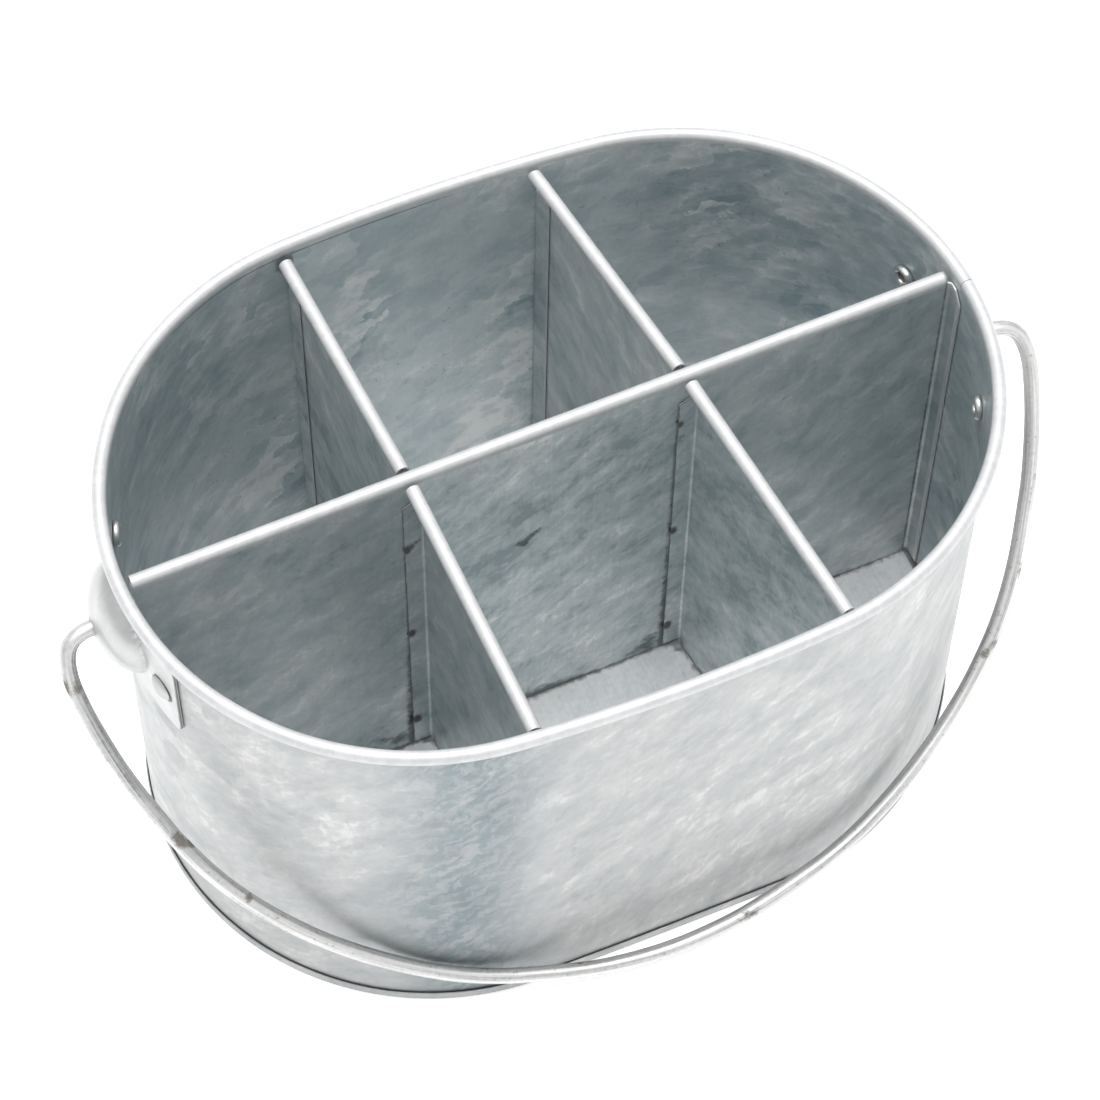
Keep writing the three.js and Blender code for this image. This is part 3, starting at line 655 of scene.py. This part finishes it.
    # which cells exist
    cell = np.zeros((rows - 1, cols - 1), bool)
    for i in range(cols - 1):
        a, b = v_of[i], v_of[i + 1]
        flat = kind[i] == 1 and kind[i + 1] == 1
        rolled = flat and min(a, b) >= roll_from - 1e-6 and max(a, b) <= roll_to + 1e-6
        own_top = near_top if near_top and a < length / 2 else flange_top
        top_z = (HEM_TOP if (kind[i] == 2 or kind[i + 1] == 2) else own_top) if not flat else max(ROLL_Z - 11.5, own_top)
        bottom = PANEL_FOOT if flat else FLANGE_LOW
        for j in range(rows - 1):
            if j < len(levels) - 1:
                z0, z1 = levels[j], levels[j + 1]
                cell[j, i] = z0 >= bottom - 1e-6 and (rolled or z1 <= top_z + 1e-6)
            else:
                cell[j, i] = rolled
    index = np.full((2, rows, cols), -1)
    foot = 0.92 + 0.25 * ripple(developed, np.zeros(cols), seed + 9, low=20, high=90)
    reach = 3.5 + 1.2 * ripple(developed, np.zeros(cols), seed + 10, low=25, high=90)
    points, sheet, grime_and_shade, stain, faces, kinds = [], [], [], [], [], []
    height = np.concatenate([levels, ROLL_Z + np.radians(turns) * ROLL_R])

    def vertex(f, j, i):
        if index[f, j, i] < 0:
            index[f, j, i] = len(points)
            points.append(pos[f, j, i])
            sheet.append((developed[i], height[j] + 250 * f, seed))
            # darker towards the floor, by an uneven amount and reach along the sheet
            dirt_and_shade = foot[i] * math.exp(-max(0.0, height[j] - 1.0) / max(reach[i], 1.2))
            # painted shade under the flange's free edge and along the flange's top edge
            if hem and developed[i] < 0.5:
                dirt_and_shade = max(dirt_and_shade, 0.7)
            if hem and kind[i] == 0 and height[j] > flange_top - 0.2:
                dirt_and_shade = max(dirt_and_shade, 0.7)
            # painted shade: a dark line in the crease beside the far bend
            if not hem and f == 1 and kind[i] == 1 and v_of[i] > length / 2:  # dark line beside the far bend
                dirt_and_shade = max(dirt_and_shade, 0.8 * math.exp(-((v_of[i] - (end - 0.35)) / 0.55) ** 2))
            for v, z_low, z_high, width, low, high in lines:
                if f == 1 and z_low <= height[j] <= z_high:
                    up = (height[j] - z_low) / (z_high - z_low)
                    dirt_and_shade = max(dirt_and_shade, (low + (high - low) * up) * math.exp(-((developed[i] - v) / (width * (1.25 - 0.5 * up))) ** 2))
            for v, z, radius, amount, which in smears:
                if which == f:
                    d = math.hypot((developed[i] - v), (height[j] - z)) / radius
                    dirt_and_shade = max(dirt_and_shade, amount * math.exp(-d * d))
            s = 0.0
            for v, z, radius, amount, which in marks:
                if which != f:
                    continue
                d = math.hypot(developed[i] - v, 0.6 * (height[j] - z)) / radius
                s = max(s, amount * math.exp(-d * d))
            grime_and_shade.append(dirt_and_shade)
            stain.append(s)
        return index[f, j, i]

    for j in range(rows - 1):
        for i in range(cols - 1):
            if not cell[j, i]:
                continue
            m = 1 if j >= len(levels) - 3 and (kind[i] == 1) else 0
            if not hem and i >= cols - 4:
                m = 2  # painted highlight along the far flange's free edge
            if not hem and kind[i] == 0 and v_of[i] > length / 2 and j < len(levels) and levels[j] > 170.6:
                m = 1  # its top is crushed against the wall, and the rolled edge's material on it is a painted highlight
            faces.append((vertex(0, j, i), vertex(0, j, i + 1), vertex(0, j + 1, i + 1), vertex(0, j + 1, i))); kinds.append(m)
            faces.append((vertex(1, j, i), vertex(1, j + 1, i), vertex(1, j + 1, i + 1), vertex(1, j, i + 1))); kinds.append(m)
            for (dj, di), (p, q) in {(-1, 0): ((j, i), (j, i + 1)), (1, 0): ((j + 1, i + 1), (j + 1, i)),
                                     (0, -1): ((j + 1, i), (j, i)), (0, 1): ((j, i + 1), (j + 1, i + 1))}.items():
                y, x = j + dj, i + di
                if 0 <= y < rows - 1 and 0 <= x < cols - 1 and cell[y, x]:
                    continue
                faces.append((vertex(0, *q), vertex(0, *p), vertex(1, *p), vertex(1, *q))); kinds.append(2)
    points = np.array(points)
    world = rule(points[:, 0], points[:, 1], points[:, 2])
    faces = outward(world, faces)
    make("caddy_" + name, world, faces,
         {"sheet": np.array(sheet) * MM, "grime_and_shade": grime_and_shade, "stain": stain, "tint": np.zeros(len(world)) if tone is None else tone(world)},
         "body", name, 42, kinds, (DIVIDER, ROLLED, CUT_EDGE_HIGHLIGHT))


def long_divider():
    length = 2 * float(crossing(1, np.array([0.0]), 90.0, INSIDE_OUT, 1)[0])

    def rule(w, v, z):
        s = v / length
        y = long_face((s - 0.5) * length) + w
        left = crossing(1, y, z, INSIDE_OUT, -1) + v
        right = crossing(1, y, z, INSIDE_OUT, 1) - (length - v)
        return np.stack([left + (right - left) * s, y, z], 1)

    # developed length from the left flange's free edge: x = -148 is about 6 mm along
    shift = 6.3 + length / 2

    def at(x):
        return x + shift

    marks = [
        (at(88.0), 141.0, 1.4, 0.4, 1),
        # the weld spots of the front dividers' flanges run over on to this sheet
        (at(-52.7), 137.0, 1.15, 1.0, 1), (at(-52.6), 81.8, 1.15, 1.0, 1), (at(-52.8), 19.6, 1.6, 1.1, 1), (at(-53.6), 17.6, 1.2, 0.8, 1),
        (at(47.3), 151.6, 1.1, 0.9, 1), (at(47.2), 142.0, 1.0, 0.8, 1), (at(47.3), 83.0, 1.15, 1.0, 1), (at(47.1), 16.4, 1.5, 1.0, 1),
    ]
    smears = [
        (at(-9.8), 112.2, 2.5, 1.2, 1), (at(-8.2), 113.6, 2.0, 1.1, 1), (at(-6.4), 115.0, 1.7, 1.0, 1), (at(-4.8), 116.2, 1.4, 0.9, 1),
        (at(-3.4), 117.2, 1.2, 0.8, 1), (at(-98.0), 84.0, 1.2, 0.5, 1),
        (at(40.5), 6.0, 5.0, 0.85, 1), (at(43.0), 10.5, 4.5, 0.8, 1), (at(35.0), 4.0, 4.0, 0.7, 1),
        (at(-57.5), 8.0, 5.0, 0.8, 1), (at(-64.0), 12.0, 7.0, 0.55, 1), (at(-71.0), 9.0, 6.0, 0.5, 1),
    ]
    # painted shade beside the front flanges' free edges, stronger towards the floor
    lines = [(at(-53.3), 2.0, 96.0, 1.9, 0.86, 0.30), (at(46.6), 2.0, 98.0, 1.9, 0.90, 0.42), (at(46.9), 98.0, 136.0, 1.3, 0.44, 0.30)]
    spots = [(at(-9.4), 112.6, 0.22), (at(-7.4), 114.2, 0.15)]
    # the tint attribute puts painted shade on the long divider towards both ends
    divider("long_divider", length, LONG_FLANGE, LONG_FLANGE_TOP, False, -0.12, length - 0.6, 1, 0.0, rule, 21, marks, spots, smears, 5.0,
            lambda p: 0.62 * smooth((np.abs(p[:, 0] + 2) - 46) / 20), 166.5, lines)


def cross_divider(name, seed, marks, spots, painted_shade, short=0.5):
    side, inner, outer, offset = CROSS[name]

    def start(x):
        return long_face(x) + (SHEET + GAP if side > 0 else -GAP)

    y0 = float(start(inner))
    y1 = float(crossing(0, np.array([outer]), 90.0, INSIDE_OUT - 0.5, side)[0])
    length = abs(y1 - y0)
    roll_from = 2 * ROLL_R - SHEET - GAP + 0.8 if side > 0 else 1.7
    move = ROLL_R - SHEET + offset

    def rule(w, v, z):
        s = v / length
        x = cross_axis(name, y0 + (y1 - y0) * s) + move + w
        near = start(x) + side * v
        far = crossing(0, x, z, INSIDE_OUT - 0.5, side) - side * (length - v)
        return np.stack([x, near + (far - near) * s, z], 1)

    # the tint attribute lays an even painted shade over the whole divider
    divider(name, length, CROSS_FLANGE, CROSS_FLANGE_TOP, True, roll_from, length - short, -1, offset, rule, seed, marks, spots,
            tone=lambda p: np.full(len(p), painted_shade))


# -------------------------------------------------------------------- base pan
def base_pan():
    out = GAP + SHEET
    core = ring(BAND_HEIGHT, out - BAND_BEND - 4.0)
    n = len(core)
    along = np.concatenate([[0], np.cumsum(np.linalg.norm(np.diff(core, axis=0), axis=1))])
    scales = np.concatenate([np.linspace(0.02, 0.9, 54), np.linspace(0.91, 1.0, 9)])
    rows = []  # (plan, z, kind)
    for s in scales:
        rows.append((core * s, np.full(n, SHEET), 0))
    for o, z in [(out - BAND_BEND - 2, SHEET)] + [tuple(p) for p in arc(out - BAND_BEND, BAND_BEND, BAND_BEND - SHEET, -90, 0, 6)]:
        rows.append((ring(BAND_HEIGHT, o), np.full(n, z), 1))
    for z in (2.6, 3.6, 4.6):
        rows.append((ring(BAND_HEIGHT, out - SHEET), np.full(n, z), 1))
    wob = 0.10 * ripple(along, np.zeros(n), 31, low=18, high=80)
    for o, z in [tuple(p) for p in arc(out - SHEET / 2, BAND_HEIGHT - SHEET / 2 - 0.05, SHEET / 2, 180, 0, 6)]:
        rows.append((ring(BAND_HEIGHT, o), np.minimum(z + wob, BAND_HEIGHT), 1))
    for z in (4.2, 3.2, 2.2):
        rows.append((ring(BAND_HEIGHT, out), np.full(n, z), 1))
    for o, z in [tuple(p) for p in arc(out - BAND_BEND, BAND_BEND, BAND_BEND, 0, -90, 8)]:
        rows.append((ring(BAND_HEIGHT, o), np.full(n, z), 1))
    for s in scales[::-1]:
        rows.append((core * s, np.zeros(n), 0))
    verts = np.concatenate([np.concatenate([p, z[:, None]], 1) for p, z, _ in rows] + [np.array([[0, 0, SHEET], [0, 0, 0.0]])])
    m = len(rows)
    faces = []
    for j in range(m - 1):
        for i in range(n):
            l = (i + 1) % n
            faces.append((j * n + i, j * n + l, (j + 1) * n + l, (j + 1) * n + i))
    for i in range(n):
        l = (i + 1) % n
        faces.append((l, i, m * n))
        faces.append(((m - 1) * n + i, (m - 1) * n + l, m * n + 1))
    x, y, z = verts.T
    to_wall = np.where(np.abs(x) > 46, 102.3 - np.hypot(np.abs(x) - 46, y), 103.0 - np.abs(y))
    to_long = np.abs(y - (long_face(x) + 0.3)) - 0.3
    near = np.minimum(to_wall, to_long)
    for name in CROSS:
        side, _, _, offset = CROSS[name]
        line = cross_axis(name, y) + ROLL_R - SHEET + offset + 0.3
        near = np.minimum(near, np.where(y * side > -2, np.abs(x - line) - 0.3, 50))
    # darker on the floor towards the walls and dividers; painted shade on the band's top lip at the gap; the underside
    # a little darker
    grime_and_shade = np.exp(-np.maximum(near, 0) / 1.7) * 0.78
    grime_and_shade = np.where(z > 0.7, np.where(z > 4.4, 0.25, 0.0), grime_and_shade)
    grime_and_shade = np.where(z < 0.3, 0.15, grime_and_shade)
    sheet = np.stack([x, y + 300 * (z < 0.3), 40 * (z > 0.7) + 0 * z], 1) * MM
    ring_count = sum(1 for _ in rows)
    band = np.array([k for _, _, k in rows])
    kinds = []
    for f in faces:
        r0 = f[0] // n if f[0] < m * n else 0
        kinds.append(1 if (r0 < m and band[min(r0, m - 1)] == 1) else 0)
    u = np.tile(along, ring_count)
    on_band = np.concatenate([np.repeat(band, n), [0, 0]])
    u = np.concatenate([u, [0, 0]])
    sheet[:, 0] = np.where(on_band == 1, u * MM, sheet[:, 0])
    sheet[:, 1] = np.where(on_band == 1, z * MM + 0.7, sheet[:, 1])
    faces = outward(verts, faces)
    make("caddy_base", verts, faces, {"sheet": sheet, "grime_and_shade": grime_and_shade, "stain": np.zeros(len(verts))},
         "body", "base_pan", 40, kinds, (FLOORING, OUTSIDE))


# ------------------------------------------------------------------------- ears
def ear(name, side):
    columns, rows = 120, 72
    z0, z1 = EAR_Z
    middle = ear_angle(side)
    verts, sheet, grime_and_shade = [], [], []

    def dome(s, z, less):
        q = (s / (DOME["y"] - less)) ** 2 + ((z - DOME["mid"]) / (DOME["z"] - less)) ** 2
        return DOME["h"] * np.clip(1 - q, 0, None) ** DOME["p"] if np.isscalar(q) else DOME["h"] * np.clip(1 - q, 0, 1) ** DOME["p"]

    # columns and rows are denser where the dome rises
    def packed(n, half, edge):
        t = np.linspace(-1, 1, n + 1)
        return np.sign(t) * np.interp(np.abs(t), [0, 0.30, 0.62, 1], [0, edge * 0.80, edge * 1.04, half])

    zs = np.concatenate([[z0], z0 + 0.3 + (z1 - z0 - 0.6) * np.linspace(0, 1, rows - 1), [z1]])
    for face, (out, less) in enumerate(((GAP, EAR_GAUGE), (GAP + EAR_GAUGE, 0.0))):
        for z in zs:
            d = max(0.0, EAR_CORNER - min(z - z0, z1 - z))
            half = EAR_HALF - EAR_CORNER + math.sqrt(max(0.0, EAR_CORNER ** 2 - d ** 2))
            s = packed(columns, half, DOME["y"])
            rise = dome(s, np.full_like(s, z), less)
            edge = np.minimum(half - np.abs(s), min(z - z0, z1 - z))
            soft = 0.22 * (1 - smooth(edge / 0.6)) * (1 if face == 1 else 0)
            p = end_point(side, middle + s / end_radius(PIVOT_Z), np.full_like(s, z), out + rise - soft)
            verts.append(p)
            sheet.append(np.stack([s, np.full_like(s, z), np.full_like(s, 70.0 + 9 * side + 3 * face)], 1) * MM)
            dark = np.zeros_like(s)
            if face == 1:  # painted shade in the gaps under the rivet heads' outer sides and under the plate's ends
                for rivet_of, rivet_s, rivet_at in RIVETS.values():
                    if rivet_of == side:
                        far = np.hypot(s - rivet_s, z - rivet_at)
                        outer = smooth(((s - rivet_s) * np.sign(rivet_s) / np.maximum(far, 0.1) + 0.15) / 0.6)
                        dark = np.maximum(dark, 1.5 * outer * np.exp(-((far - 5.0) / 0.75) ** 2))
                dark = np.maximum(dark, 1.3 * smooth(1 - (half - np.abs(s)) / 0.8) * smooth((z - z0 - 1.0) / 2.0))
            grime_and_shade.append(dark)
    verts = np.concatenate(verts)
    n, r = columns + 1, len(zs)
    half = n * r
    faces = []
    for j in range(r - 1):
        for i in range(columns):
            a, b, c, d = j * n + i, j * n + i + 1, (j + 1) * n + i + 1, (j + 1) * n + i
            faces.append((a, d, c, b))
            faces.append((half + a, half + b, half + c, half + d))
    border = [(0 * n + i, 0 * n + i + 1) for i in range(columns)]
    border += [(j * n + columns, (j + 1) * n + columns) for j in range(r - 1)]
    border += [((r - 1) * n + i, (r - 1) * n + i - 1) for i in range(columns, 0, -1)]
    border += [(j * n, (j - 1) * n) for j in range(r - 1, 0, -1)]
    for a, b in border:
        faces.append((a, b, half + b, half + a))
    faces = outward(verts, faces)
    obj = make("caddy_" + name, verts, faces, {"sheet": np.concatenate(sheet), "grime_and_shade": np.concatenate(grime_and_shade), "stain": np.zeros(len(verts))},
               "body", name, 44, None, (EAR,))
    # the hole for the wire
    axis = Vector((side * math.cos(SKEW), -side * math.sin(SKEW), 0))
    drill = bpy.data.meshes.new("drill")
    ringed = 40
    q = Vector((1, 0, 0)).rotation_difference(axis)
    pts, fs = [], []
    for x in (152.0, 172.0):
        for i in range(ringed):
            t = 2 * math.pi * i / ringed
            v = q @ Vector((x, WIRE_HOLE_R * math.cos(t), WIRE_HOLE_R * math.sin(t)))
            pts.append(((v.x) * MM, v.y * MM, (v.z + PIVOT_Z) * MM))
    for i in range(ringed):
        l = (i + 1) % ringed
        fs.append((i, l, ringed + l, ringed + i))
    fs.append(tuple(reversed(range(ringed))))
    fs.append(tuple(range(ringed, 2 * ringed)))
    drill.from_pydata(pts, [], fs)
    drill.update()
    cutter = bpy.data.objects.new("drill", drill)
    bpy.context.scene.collection.objects.link(cutter)
    mod = obj.modifiers.new("hole", "BOOLEAN")
    mod.operation, mod.object, mod.solver = "DIFFERENCE", cutter, "EXACT"
    bpy.context.view_layer.update()
    cut = bpy.data.meshes.new_from_object(obj.evaluated_get(bpy.context.evaluated_depsgraph_get()))
    obj.modifiers.clear()
    obj.data = cut
    bpy.data.objects.remove(cutter)


# ----------------------------------------------------------------------- rivets
def rivet(name, side, along_arc, z, seed):
    angle = ear_angle(side) + along_arc / end_radius(z)
    at = end_point(side, np.array(angle), np.array(z), np.array(0.0))
    lean = (TOP[0] - FOOT[0]) / RIM_HEIGHT
    normal = Vector((side * math.cos(angle), math.sin(angle), -lean)).normalized()
    under = GAP + EAR_GAUGE + 0.2
    tail = -(SHEET + 0.2)
    line = [(0.0, under + 2.0), (0.8, under + 1.98), (1.6, under + 1.9), (2.4, under + 1.74), (3.1, under + 1.5), (3.7, under + 1.2),
            (4.2, under + 0.85), (4.55, under + 0.52), (4.75, under + 0.22), (4.8, under + 0.08), (4.72, under), (2.05, under), (2.05, tail),
            (4.0, tail), (4.3, tail - 0.2), (4.48, tail - 0.6), (4.5, tail - 1.0), (4.4, tail - 1.45), (4.2, tail - 1.85), (3.9, tail - 2.2),
            (3.55, tail - 2.42), (3.2, tail - 2.5), (2.85, tail - 2.42), (2.55, tail - 2.2), (2.33, tail - 1.85), (2.18, tail - 1.4), (2.08, tail - 0.8),
            (2.0, tail - 0.1), (0.0, tail)]
    steps = 48
    q = Vector((0, 0, 1)).rotation_difference(normal)
    verts, sheet, grime_and_shade, rings = [], [], [], []
    rng = np.random.default_rng(seed)
    ph = rng.uniform(0, 6.28, 3)
    for r, h in line:
        if r == 0:
            rings.append([len(verts)])
            p = q @ Vector((0, 0, h))
            verts.append((p.x + at[0], p.y + at[1], p.z + at[2]))
            sheet.append((0, h, seed))
            # the centre of the tail's hollow is darkened, dirt and painted shade
            grime_and_shade.append(1.0 if h < 0 else 0.0)
            continue
        rings.append(list(range(len(verts), len(verts) + steps)))
        for i in range(steps):
            t = 2 * math.pi * i / steps
            uneven = 1.0
            hh = h
            if h < tail - 0.2:  # the clinched tail is not quite even
                hh = h + 0.12 * math.sin(2 * t + ph[0]) * min(1.0, (tail - h) / 2.0) + 0.06
                uneven = 1 + 0.012 * math.sin(3 * t + ph[1])
            p = q @ Vector((r * uneven * math.cos(t), r * uneven * math.sin(t), hh))
            verts.append((p.x + at[0], p.y + at[1], p.z + at[2]))
            sheet.append((r * math.cos(t), r * math.sin(t) + 30 * (h < 0), seed))
            # darkened as dirt and painted shade in the tail's hollow; painted shade under the head's rim and where the
            # tail meets the wall
            grime_and_shade.append(0.95 if (h < 0 and r < 2.25 and h > tail - 1.5) else (0.5 if under - 0.01 <= h < under + 0.1 else (0.6 if tail - 0.5 < h < 0 else 0.0)))
    faces = []
    for a, b in zip(rings[:-1], rings[1:]):
        if len(a) == 1:
            faces += [(a[0], b[i], b[(i + 1) % steps]) for i in range(steps)]
        elif len(b) == 1:
            faces += [(a[(i + 1) % steps], a[i], b[0]) for i in range(steps)]
        else:
            faces += [(a[i], b[i], b[(i + 1) % steps], a[(i + 1) % steps]) for i in range(steps)]
    faces = outward(np.array(verts) - np.array(at), faces)
    head = sum(len(r) for r in rings[:11])
    kinds = [1 if max(f) < head else 0 for f in faces]
    make("caddy_" + name, verts, faces, {"sheet": np.array(sheet) * MM, "grime_and_shade": grime_and_shade, "stain": np.zeros(len(verts))},
         "body", name, 50, kinds, (RIVET, EAR))


# ------------------------------------------------------------------------- bail
def bail():
    pts = np.array([(-u, -v) for u, v in BAIL_HALF] + [(0, -BAIL_DEPTH)] + [(u, -v) for u, v in reversed(BAIL_HALF)], float)
    pts[:, 0] += BAIL_SHIFT
    knots = np.concatenate([[0], np.cumsum(np.sqrt(np.linalg.norm(np.diff(pts, axis=0), axis=1)))])
    # centripetal Catmull-Rom through the points
    def curve(x):
        k = np.clip(np.searchsorted(knots, x, side="right") - 1, 0, len(pts) - 2)
        p1, p2 = pts[k], pts[k + 1]
        p0 = pts[k - 1] if k > 0 else 2 * p1 - p2
        p3 = pts[k + 2] if k + 2 < len(pts) else 2 * p2 - p1
        t1, t2 = knots[k], knots[k + 1]
        t0 = knots[k - 1] if k > 0 else t1 - (t2 - t1)
        t3 = knots[k + 2] if k + 2 < len(pts) else t2 + (t2 - t1)
        a1 = (t1 - x) / (t1 - t0) * p0 + (x - t0) / (t1 - t0) * p1
        a2 = (t2 - x) / (t2 - t1) * p1 + (x - t1) / (t2 - t1) * p2
        a3 = (t3 - x) / (t3 - t2) * p2 + (x - t2) / (t3 - t2) * p3
        b1 = (t2 - x) / (t2 - t0) * a1 + (x - t0) / (t2 - t0) * a2
        b2 = (t3 - x) / (t3 - t1) * a2 + (x - t1) / (t3 - t1) * a3
        return (t2 - x) / (t2 - t1) * b1 + (x - t1) / (t2 - t1) * b2

    dense = np.array([curve(x) for x in np.linspace(0, knots[-1], 4000)])
    run = np.concatenate([[0], np.cumsum(np.linalg.norm(np.diff(dense, axis=0), axis=1))])
    stations = np.linspace(0, run[-1], 420)
    line = np.stack([np.interp(stations, run, dense[:, 0]), np.interp(stations, run, dense[:, 1])], 1)
    tangent = np.gradient(line, axis=0)
    tangent /= np.linalg.norm(tangent, axis=1, keepdims=True)
    side = np.stack([-tangent[:, 1], tangent[:, 0]], 1)
    around = 28
    turn = Matrix.Rotation(-SKEW, 4, "Z") @ Matrix.Rotation(BAIL_REST, 4, "X")
    verts, sheet, grime_and_shade = [], [], []
    rng = np.random.default_rng(5)
    wob = 0.05 * ripple(stations, np.zeros_like(stations), 52, low=18, high=120)
    blots = [(rng.uniform(30, run[-1] - 30), rng.uniform(0, 6.28), rng.uniform(2.0, 7.0), rng.uniform(0.4, 0.9)) for _ in range(34)]
    blots += [(run[-1] * 0.166, 1.2, 4.2, 1.2), (run[-1] * 0.172, 0.4, 3.2, 1.05), (run[-1] * 0.222, 1.0, 2.4, 0.85)]
    last = len(stations) - 1
    ends = [(0, 0.75, 0.0), (0, 0.93, 0.15), (0, 1.0, 0.5)] + [(k, 1.0, 0.0) for k in range(1, last)] + [(last, 1.0, 0.5), (last, 0.93, 0.15), (last, 0.75, 0.0)]
    rows = []
    for k, size, inset in ends:
        base = line[k] + tangent[k] * inset * (1 if k == 0 else -1)
        row = []
        for i in range(around):
            t = 2 * math.pi * i / around
            r = (WIRE_R - 0.09 + min(wob[k], 0.03)) * size
            p = turn @ Vector((base[0] + side[k, 0] * r * math.cos(t), base[1] + side[k, 1] * r * math.cos(t), r * math.sin(t)))
            row.append(len(verts))
            verts.append((p.x, p.y, p.z + PIVOT_Z))
            sheet.append((stations[k], WIRE_R * (t if t <= math.pi else 2 * math.pi - t) + (0 if t <= math.pi else 60), 0))
            dirt_and_shade = 0.0
            for s, a, width, amount in blots:
                da = math.atan2(math.sin(t - a), math.cos(t - a))
                dirt_and_shade = max(dirt_and_shade, amount * math.exp(-((stations[k] - s) / width) ** 2 - (da / 0.9) ** 2))
            low = 0.5 + 0.5 * math.cos(t - math.pi)
            dirt_and_shade = max(dirt_and_shade, 0.34 * low ** 2)
            grime_and_shade.append(dirt_and_shade)
        rows.append(row)
    faces = []
    for a, b in zip(rows[:-1], rows[1:]):
        for i in range(around):
            l = (i + 1) % around
            faces.append((a[i], a[l], b[l], b[i]))
    for k, row in ((0, rows[0]), (last, rows[-1])):
        p = turn @ Vector((line[k, 0], line[k, 1], 0.0))
        verts.append((p.x, p.y, p.z + PIVOT_Z))
        sheet.append((stations[k], 0, 0))
        grime_and_shade.append(0.0)
        for i in range(around):
            l = (i + 1) % around
            faces.append((row[l], row[i], len(verts) - 1) if k == 0 else (row[i], row[l], len(verts) - 1))
    verts = np.array(verts)
    faces = outward(verts - np.array([0, 0, PIVOT_Z]), faces)
    make("caddy_bail", verts, faces, {"sheet": np.array(sheet) * MM, "grime_and_shade": grime_and_shade}, "bail", "bail_handle", 60, None, (WIRE,))


tub_wall()
base_pan()
long_divider()
# the fifth argument of each call sets how much painted shade lies evenly over that divider
cross_divider("rear_left_divider", 22, [], [], 0.15, 1.8)
cross_divider("rear_right_divider", 23, [], [], 0.5)
cross_divider("front_left_divider", 24, [
    (1.0, 137.0, 1.7, 1.0, 1), (2.6, 138.2, 1.5, 0.75, 1), (4.2, 139.6, 1.3, 0.6, 1), (5.6, 140.6, 1.2, 0.5, 1),
    (1.1, 81.8, 1.6, 1.0, 1), (1.3, 19.8, 1.9, 1.0, 1), (2.4, 18.6, 1.2, 0.7, 1)],
    [(1.2, 137.0, 0.3), (1.2, 81.8, 0.3), (1.4, 19.8, 0.3)], 0.35)
cross_divider("front_right_divider", 25, [
    (0.7, 151.6, 1.5, 0.9, 1), (0.9, 142.0, 1.1, 0.7, 1), (2.2, 142.9, 0.9, 0.6, 1), (0.9, 83.0, 1.6, 1.0, 1), (1.2, 16.5, 1.9, 1.0, 1)],
    [(1.0, 151.6, 0.3), (1.0, 83.0, 0.3), (1.3, 16.5, 0.3)], 0.05)
ear("left_ear", -1)
ear("right_ear", 1)
for number, (rivet_name, (rivet_side, rivet_along, rivet_z)) in enumerate(RIVETS.items()):
    rivet(rivet_name, rivet_side, rivet_along, rivet_z, 80 + number)
bail()


# ------------------------------------------------------------ floor, light, camera
def stage():
    mesh = bpy.data.meshes.new("floor")
    n, half = 24, 6.0
    step = 2 * half / n
    mesh.from_pydata([(-half + i * step, -half + j * step, -0.0002) for j in range(n + 1) for i in range(n + 1)], [],
                     [(j * (n + 1) + i, j * (n + 1) + i + 1, (j + 1) * (n + 1) + i + 1, (j + 1) * (n + 1) + i) for j in range(n) for i in range(n)])
    floor = bpy.data.objects.new("floor", mesh)
    bpy.context.scene.collection.objects.link(floor)
    g = Graph("studio_floor")
    g.bsdf.inputs["Base Color"].default_value = (0.93, 0.93, 0.93, 1)
    g.bsdf.inputs["Roughness"].default_value = 0.9
    g.bsdf.inputs["Specular IOR Level"].default_value = 0.1
    g.bsdf.inputs["Emission Color"].default_value = (1, 1, 1, 1)
    g.bsdf.inputs["Emission Strength"].default_value = 0.45
    mesh.materials.append(g.material)

    world = bpy.data.worlds.new("studio")
    bpy.context.scene.world = world
    world.use_nodes = True
    back = world.node_tree.nodes["Background"]
    back.inputs["Color"].default_value = (1.0, 1.0, 1.0, 1)
    back.inputs["Strength"].default_value = 0.75

    def area(name, place, target, size, power, colour=(1, 1, 1)):
        light = bpy.data.lights.new(name, "AREA")
        light.shape = "RECTANGLE"
        light.size, light.size_y = size
        light.energy = power
        light.color = colour
        o = bpy.data.objects.new(name, light)
        o.location = place
        o.rotation_euler = (Vector(target) - Vector(place)).to_track_quat("-Z", "Y").to_euler()
        bpy.context.scene.collection.objects.link(o)

    area("overhead", (0.0, 0.1, 2.2), (0, 0, 0.1), (2.0, 2.0), 60.0)


def camera():
    az, el, roll = math.radians(-23.76403), math.radians(58.71717), math.radians(0.94215)
    target = Vector((6.10974, 15.05693, 75.0)) * MM
    d = Vector((math.sin(az) * math.cos(el), -math.cos(az) * math.cos(el), math.sin(el)))
    place = target + d * 1225.817 * MM
    right = (-d).cross(Vector((0, 0, 1))).normalized()
    up = right.cross(-d)
    r = right * math.cos(roll) + up * math.sin(roll)
    u = -right * math.sin(roll) + up * math.cos(roll)
    data = bpy.data.cameras.new("photo_view")
    data.sensor_fit = "HORIZONTAL"
    data.sensor_width = 36.0
    data.lens = 3476.868 / 1100 * 36.0
    data.clip_start, data.clip_end = 0.05, 50.0
    cam = bpy.data.objects.new("photo_view", data)
    bpy.context.scene.collection.objects.link(cam)
    cam.matrix_world = Matrix(((r.x, u.x, d.x, place.x), (r.y, u.y, d.y, place.y), (r.z, u.z, d.z, place.z), (0, 0, 0, 1)))
    bpy.context.scene.camera = cam


stage()
camera()
bpy.context.scene.view_settings.view_transform = "Standard"
bpy.context.scene.view_settings.look = "None"
